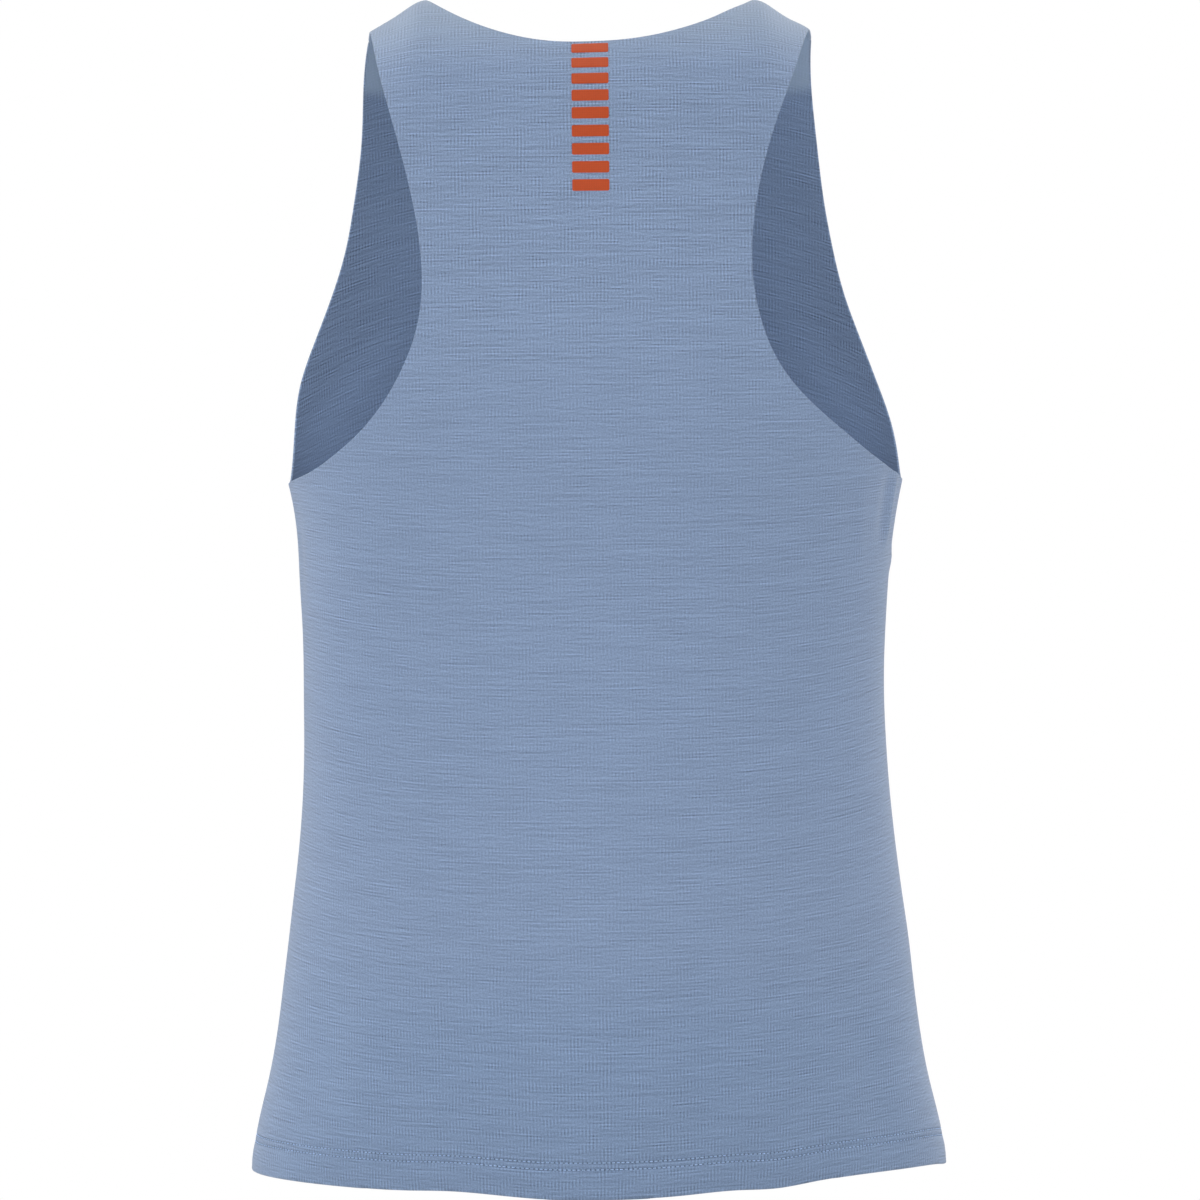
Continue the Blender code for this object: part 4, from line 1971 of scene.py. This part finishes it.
    def make(self) -> bpy.types.Material:
        """Builds the material.

        Returns:
            The material.
        """
        shop = NodeShop(bpy.data.materials.new(self.name))
        ground = self._ground(shop)
        ribs, row = self._ribs(ground), self._row(ground)
        crisp = ground.gain(self.streak_gain) - ground.rolled * self.streak_loss_at_sides
        long_streaks = self._streaks(ground, row, self.long_streaks) * crisp
        short_streaks = self._streaks(ground, row, self.short_streaks) * crisp
        tone = (
            ribs * self.ribs
            + long_streaks * self.long_streaks.strength
            + short_streaks * self.short_streaks.strength
            + self._bands(ground, row)
            + (ground.mottle(self.fleck_grain) - 0.5) * self.flecks
        )
        rise = self.relief_of_streaks
        height = ribs * self.relief_of_ribs + long_streaks * rise + short_streaks * rise
        return shop.paint(
            {
                "Base Color": self._tinted(ground, self._shaded(ground, tone)),
                "Roughness": self.roughness,
                "Specular IOR Level": self.specular,
                "Sheen Weight": self.sheen,
                "Sheen Roughness": self.sheen_roughness,
                "Sheen Tint": self.sheen_tint,
                "Normal": shop.bump(height, self.relief * MILLIMETRE, self.relief_strength),
            }
        )


@dataclass(frozen=True)
class ThreadFinish:
    """Polyester sewing thread, mottled and roughened by its twist."""

    name: str
    colour: Colour
    roughness: float = 0.55
    specular: float = 0.3
    twist_scale: float = 1400.0
    twist_edge: Zone = Zone(0.3, 0.7)
    dark: float = 0.78
    light: float = 1.15
    relief: float = 0.1
    relief_strength: float = 0.36

    def make(self) -> bpy.types.Material:
        """Builds the material.

        Returns:
            The material.
        """
        shop = NodeShop(bpy.data.materials.new(self.name))
        source = shop.node("ShaderNodeTexCoord")
        place = {"Vector": source.outputs["Object"], "Scale": self.twist_scale, "Detail": 1.0}
        noise = shop.node("ShaderNodeTexNoise", {"noise_dimensions": "3D"}, place)
        tone = Signal(shop, noise.outputs[0])
        dark, light = scaled(self.colour, self.dark), scaled(self.colour, self.light)
        return shop.paint(
            {
                "Base Color": shop.mix(tone.step(*self.twist_edge), dark, light),
                "Roughness": self.roughness,
                "Specular IOR Level": self.specular,
                "Normal": shop.bump(tone, self.relief * MILLIMETRE, self.relief_strength),
            }
        )


@dataclass(frozen=True)
class PrintFinish:
    """Flat matt transfer film that lets the knit under it show a little."""

    name: str
    colour: Colour
    contrast: float = 0.12
    rib_pitch: float = 1.16
    course_pitch: float = 1.22
    knit: float = 0.10
    mottle: float = 0.5
    mottle_grain: Grain = Grain(1.7, 1.3)
    mottle_detail: float = 2.0
    roughness: float = 0.62
    uneven_roughness: float = 0.12
    specular: float = 0.3
    relief: float = 0.08
    relief_strength: float = 0.5

    def make(self) -> bpy.types.Material:
        """Builds the material.

        Returns:
            The material.
        """
        shop = NodeShop(bpy.data.materials.new(self.name))
        across, up = shop.cloth_place()
        ribs = (across * (2 * math.pi / self.rib_pitch)).cosine()
        courses = (up * (2 * math.pi / self.course_pitch)).cosine()
        mottle = shop.mottle(across, up, self.mottle_grain, self.mottle_detail) - 0.5
        tone = ribs * self.knit + courses * self.knit + mottle * self.mottle + 0.5
        dark, light = scaled(self.colour, 1 - self.contrast), scaled(self.colour, 1 + self.contrast)
        height = ribs * 0.5 + courses * 0.5
        return shop.paint(
            {
                "Base Color": shop.mix(tone, dark, light),
                "Roughness": mottle * self.uneven_roughness + self.roughness,
                "Specular IOR Level": self.specular,
                "Normal": shop.bump(height, self.relief * MILLIMETRE, self.relief_strength),
            }
        )


# ----------------------------------------------------------------------- studio


class Lamp(NamedTuple):
    """One soft box."""

    name: str
    place: tuple[float, float, float]
    size: float
    power: float


@dataclass(frozen=True)
class Studio:
    """The floor, the light and the camera."""

    target: tuple[float, float, float] = (0.0, 0.0, -0.31)
    camera_distance: float = 2.5
    camera_x: float = -0.0029
    camera_height: float = -0.3168
    lens: float = 141.4
    roll: float = -0.48
    sensor_width: float = 36.0
    clip: tuple[float, float] = (0.05, 60.0)
    floor_height: float = -1.5
    floor_radius: float = 5.5
    floor_sides: int = 96
    floor_roughness: float = 0.9
    floor_bounce: Colour = (0.82, 0.82, 0.82)
    floor_seen: Colour = (0.25, 0.25, 0.25)
    floor_glow: float = 0.80
    sky: float = 0.04
    white: Colour = (1.0, 1.0, 1.0)
    lamps: tuple[Lamp, ...] = (
        Lamp("left_side", (2.6, 0.8, 0.2), 1.6, 22.5),
        Lamp("right_side", (-2.6, 0.8, 0.2), 1.6, 23.5),
        Lamp("left_key", (2.0, 2.2, 0.6), 1.6, 10.6),
        Lamp("overhead_back", (0.0, 1.7, 2.1), 1.6, 8.0),
        Lamp("overhead_near", (0.0, 0.7, 1.6), 0.8, 10.4),
        Lamp("overhead_front", (0.0, -0.9, 2.3), 1.6, 31.0),
        Lamp("camera_near", (0.0, 0.9, -0.3), 0.4, 2.7),
        Lamp("left_rim", (2.4, -1.1, 0.2), 1.6, 32.0),
        Lamp("right_rim", (-2.4, -1.1, 0.2), 1.6, 23.0),
        Lamp("front_key", (-1.9, -2.6, 0.9), 1.6, 26.0),
    )

    def floor_paint(self) -> bpy.types.Material:
        """Plain pale paint: evenly bright to the eye, and it throws light back up.

        Returns:
            The material.
        """
        shop = NodeShop(bpy.data.materials.new("floor_paint"))
        unseen = shop.tree.nodes["Principled BSDF"]
        glow = {
            "Base Color": self.floor_seen,
            "Roughness": self.floor_roughness,
            "Emission Color": self.white,
            "Emission Strength": self.floor_glow,
        }
        shop.show_camera(shop.node("ShaderNodeBsdfPrincipled", inputs=glow), unseen)
        return shop.paint({"Base Color": self.floor_bounce, "Roughness": self.floor_roughness})

    def build_floor(self) -> None:
        """A plain pale round floor."""
        bpy.ops.object.select_all(action="DESELECT")
        bpy.ops.mesh.primitive_circle_add(
            vertices=self.floor_sides,
            radius=self.floor_radius,
            fill_type="NGON",
            location=(0.0, 0.0, self.floor_height),
        )
        floor = bpy.context.active_object
        floor.name = "floor"
        bpy.ops.object.transform_apply(location=True, rotation=True, scale=True)
        floor.data.materials.append(self.floor_paint())

    def build_sky(self) -> None:
        """An even pale sky that is plain white behind the tank."""
        shop = NodeShop(bpy.data.worlds.new("studio"))
        shop.tree.nodes.clear()
        shop.node("ShaderNodeOutputWorld")
        unseen, seen = (
            shop.node("ShaderNodeBackground", inputs={"Color": self.white, "Strength": strength})
            for strength in (self.sky, 1.0)
        )
        shop.show_camera(seen, unseen)
        bpy.context.scene.world = shop.owner

    def build_lamps(self) -> None:
        """Soft boxes all round, brightest on the left of the picture."""
        for lamp in self.lamps:
            data = bpy.data.lights.new(lamp.name, "AREA")
            data.shape = "SQUARE"
            data.size = lamp.size
            data.energy = lamp.power
            light = bpy.data.objects.new(lamp.name, data)
            light.location = lamp.place
            toward = Vector(self.target) - Vector(lamp.place)
            light.rotation_euler = toward.to_track_quat("-Z", "Y").to_euler()
            light.visible_camera = False
            bpy.context.scene.collection.objects.link(light)

    def build_camera(self) -> None:
        """The camera, level behind the back, as in the photograph."""
        data = bpy.data.cameras.new("camera")
        data.lens = self.lens
        data.sensor_width = self.sensor_width
        data.clip_start, data.clip_end = self.clip
        camera = bpy.data.objects.new("camera", data)
        turn = Matrix.Rotation(math.pi, 4, "Z") @ Matrix.Rotation(QUARTER, 4, "X")
        turn = turn @ Matrix.Rotation(math.radians(self.roll), 4, "Z")
        place = Matrix.Translation((self.camera_x, self.camera_distance, self.camera_height))
        camera.matrix_world = place @ turn
        bpy.context.scene.collection.objects.link(camera)
        bpy.context.scene.camera = camera

    def build(self) -> None:
        """Sets up the whole studio."""
        scene = bpy.context.scene
        scene.view_settings.view_transform = "Standard"
        scene.view_settings.look = "None"
        self.build_floor()
        self.build_sky()
        self.build_lamps()
        self.build_camera()


# ------------------------------------------------------------------------- main

OUTER_BLUE: Colour = (0.231, 0.314, 0.473)
# the inside's blue, painted darker than the outside's as shade inside the tank
INNER_BLUE_SHADED: Colour = (0.212, 0.291, 0.435)
# painted light: the paler, greyer blue of the shoulder tops, where light from above falls on them
OUTER_TOP_LIGHT: Colour = (0.325, 0.400, 0.473)
THREAD_BLUE: Colour = (0.45, 0.61, 0.88)
PRINT_ORANGE: Colour = (0.500, 0.069, 0.014)

BACK_CUT = Cut(
    side=Side.BACK,
    neck_depth=0.0302,
    neck_across=2.4,
    neck_down=1.0,
    armhole=BACK_ARMHOLE,
    yoke_height=-0.085,
)
FRONT_CUT = Cut(
    side=Side.FRONT,
    neck_depth=0.1050,
    neck_across=2.2,
    neck_down=2.2,
    armhole=FRONT_ARMHOLE,
    yoke_height=-0.120,
)


class TankTop:
    """The whole tank top."""

    def __init__(self) -> None:
        """Settles the form, the panels and the finishes."""
        drape = Drape(Form())
        back_pattern = Pattern(BACK_CUT, drape)
        # the outside, with painted light on the shoulder tops
        outer = KnitFinish(
            "knit_outside",
            OUTER_BLUE,
            top_light=0.30,
            top_light_tint=OUTER_TOP_LIGHT,
            top_light_zone=Zone(-46.0, -10.0),
        ).make()
        # the inside: its darker blue, its light near the shoulders and its gradient beside the
        # armholes are painted light and shade
        inner = KnitFinish(
            "knit_inside", INNER_BLUE_SHADED, sheen=0.02, top_light=0.75, arm_shade=0.26
        ).make()
        thread = ThreadFinish("sewing_thread", THREAD_BLUE).make()
        film = PrintFinish("print_film", PRINT_ORANGE).make()
        self.back = Panel(
            name="tank_back",
            node="back_panel",
            pattern=back_pattern,
            outer_finish=outer,
            inner_finish=inner,
            flat=(0.466, 0.685),
            flat_area=0.2095,
        )
        self.front = Panel(
            name="tank_front",
            node="front_panel",
            pattern=Pattern(FRONT_CUT, drape),
            outer_finish=outer,
            inner_finish=inner,
            flat=(0.463, 0.661),
            flat_area=0.2208,
        )
        self.hem = HemStitching(drape, thread)
        self.bars = PrintColumn(back_pattern, film)

    def build(self) -> Iterable[bpy.types.Object]:
        """Builds every piece in order.

        Returns:
            The finished pieces, one after another.
        """
        yield self.back.build()
        yield self.front.build()
        yield self.hem.build_rows()
        yield self.hem.build_loops(self.back.thickness)
        yield from self.bars.build()


def main() -> None:
    """Builds the tank top and the studio."""
    logging.basicConfig(level=logging.INFO, format="%(name)s: %(message)s")
    for piece in TankTop().build():
        LOG.info("%s: %d faces", piece.name, len(piece.data.polygons))
    Studio().build()


if __name__ == "__main__":
    main()
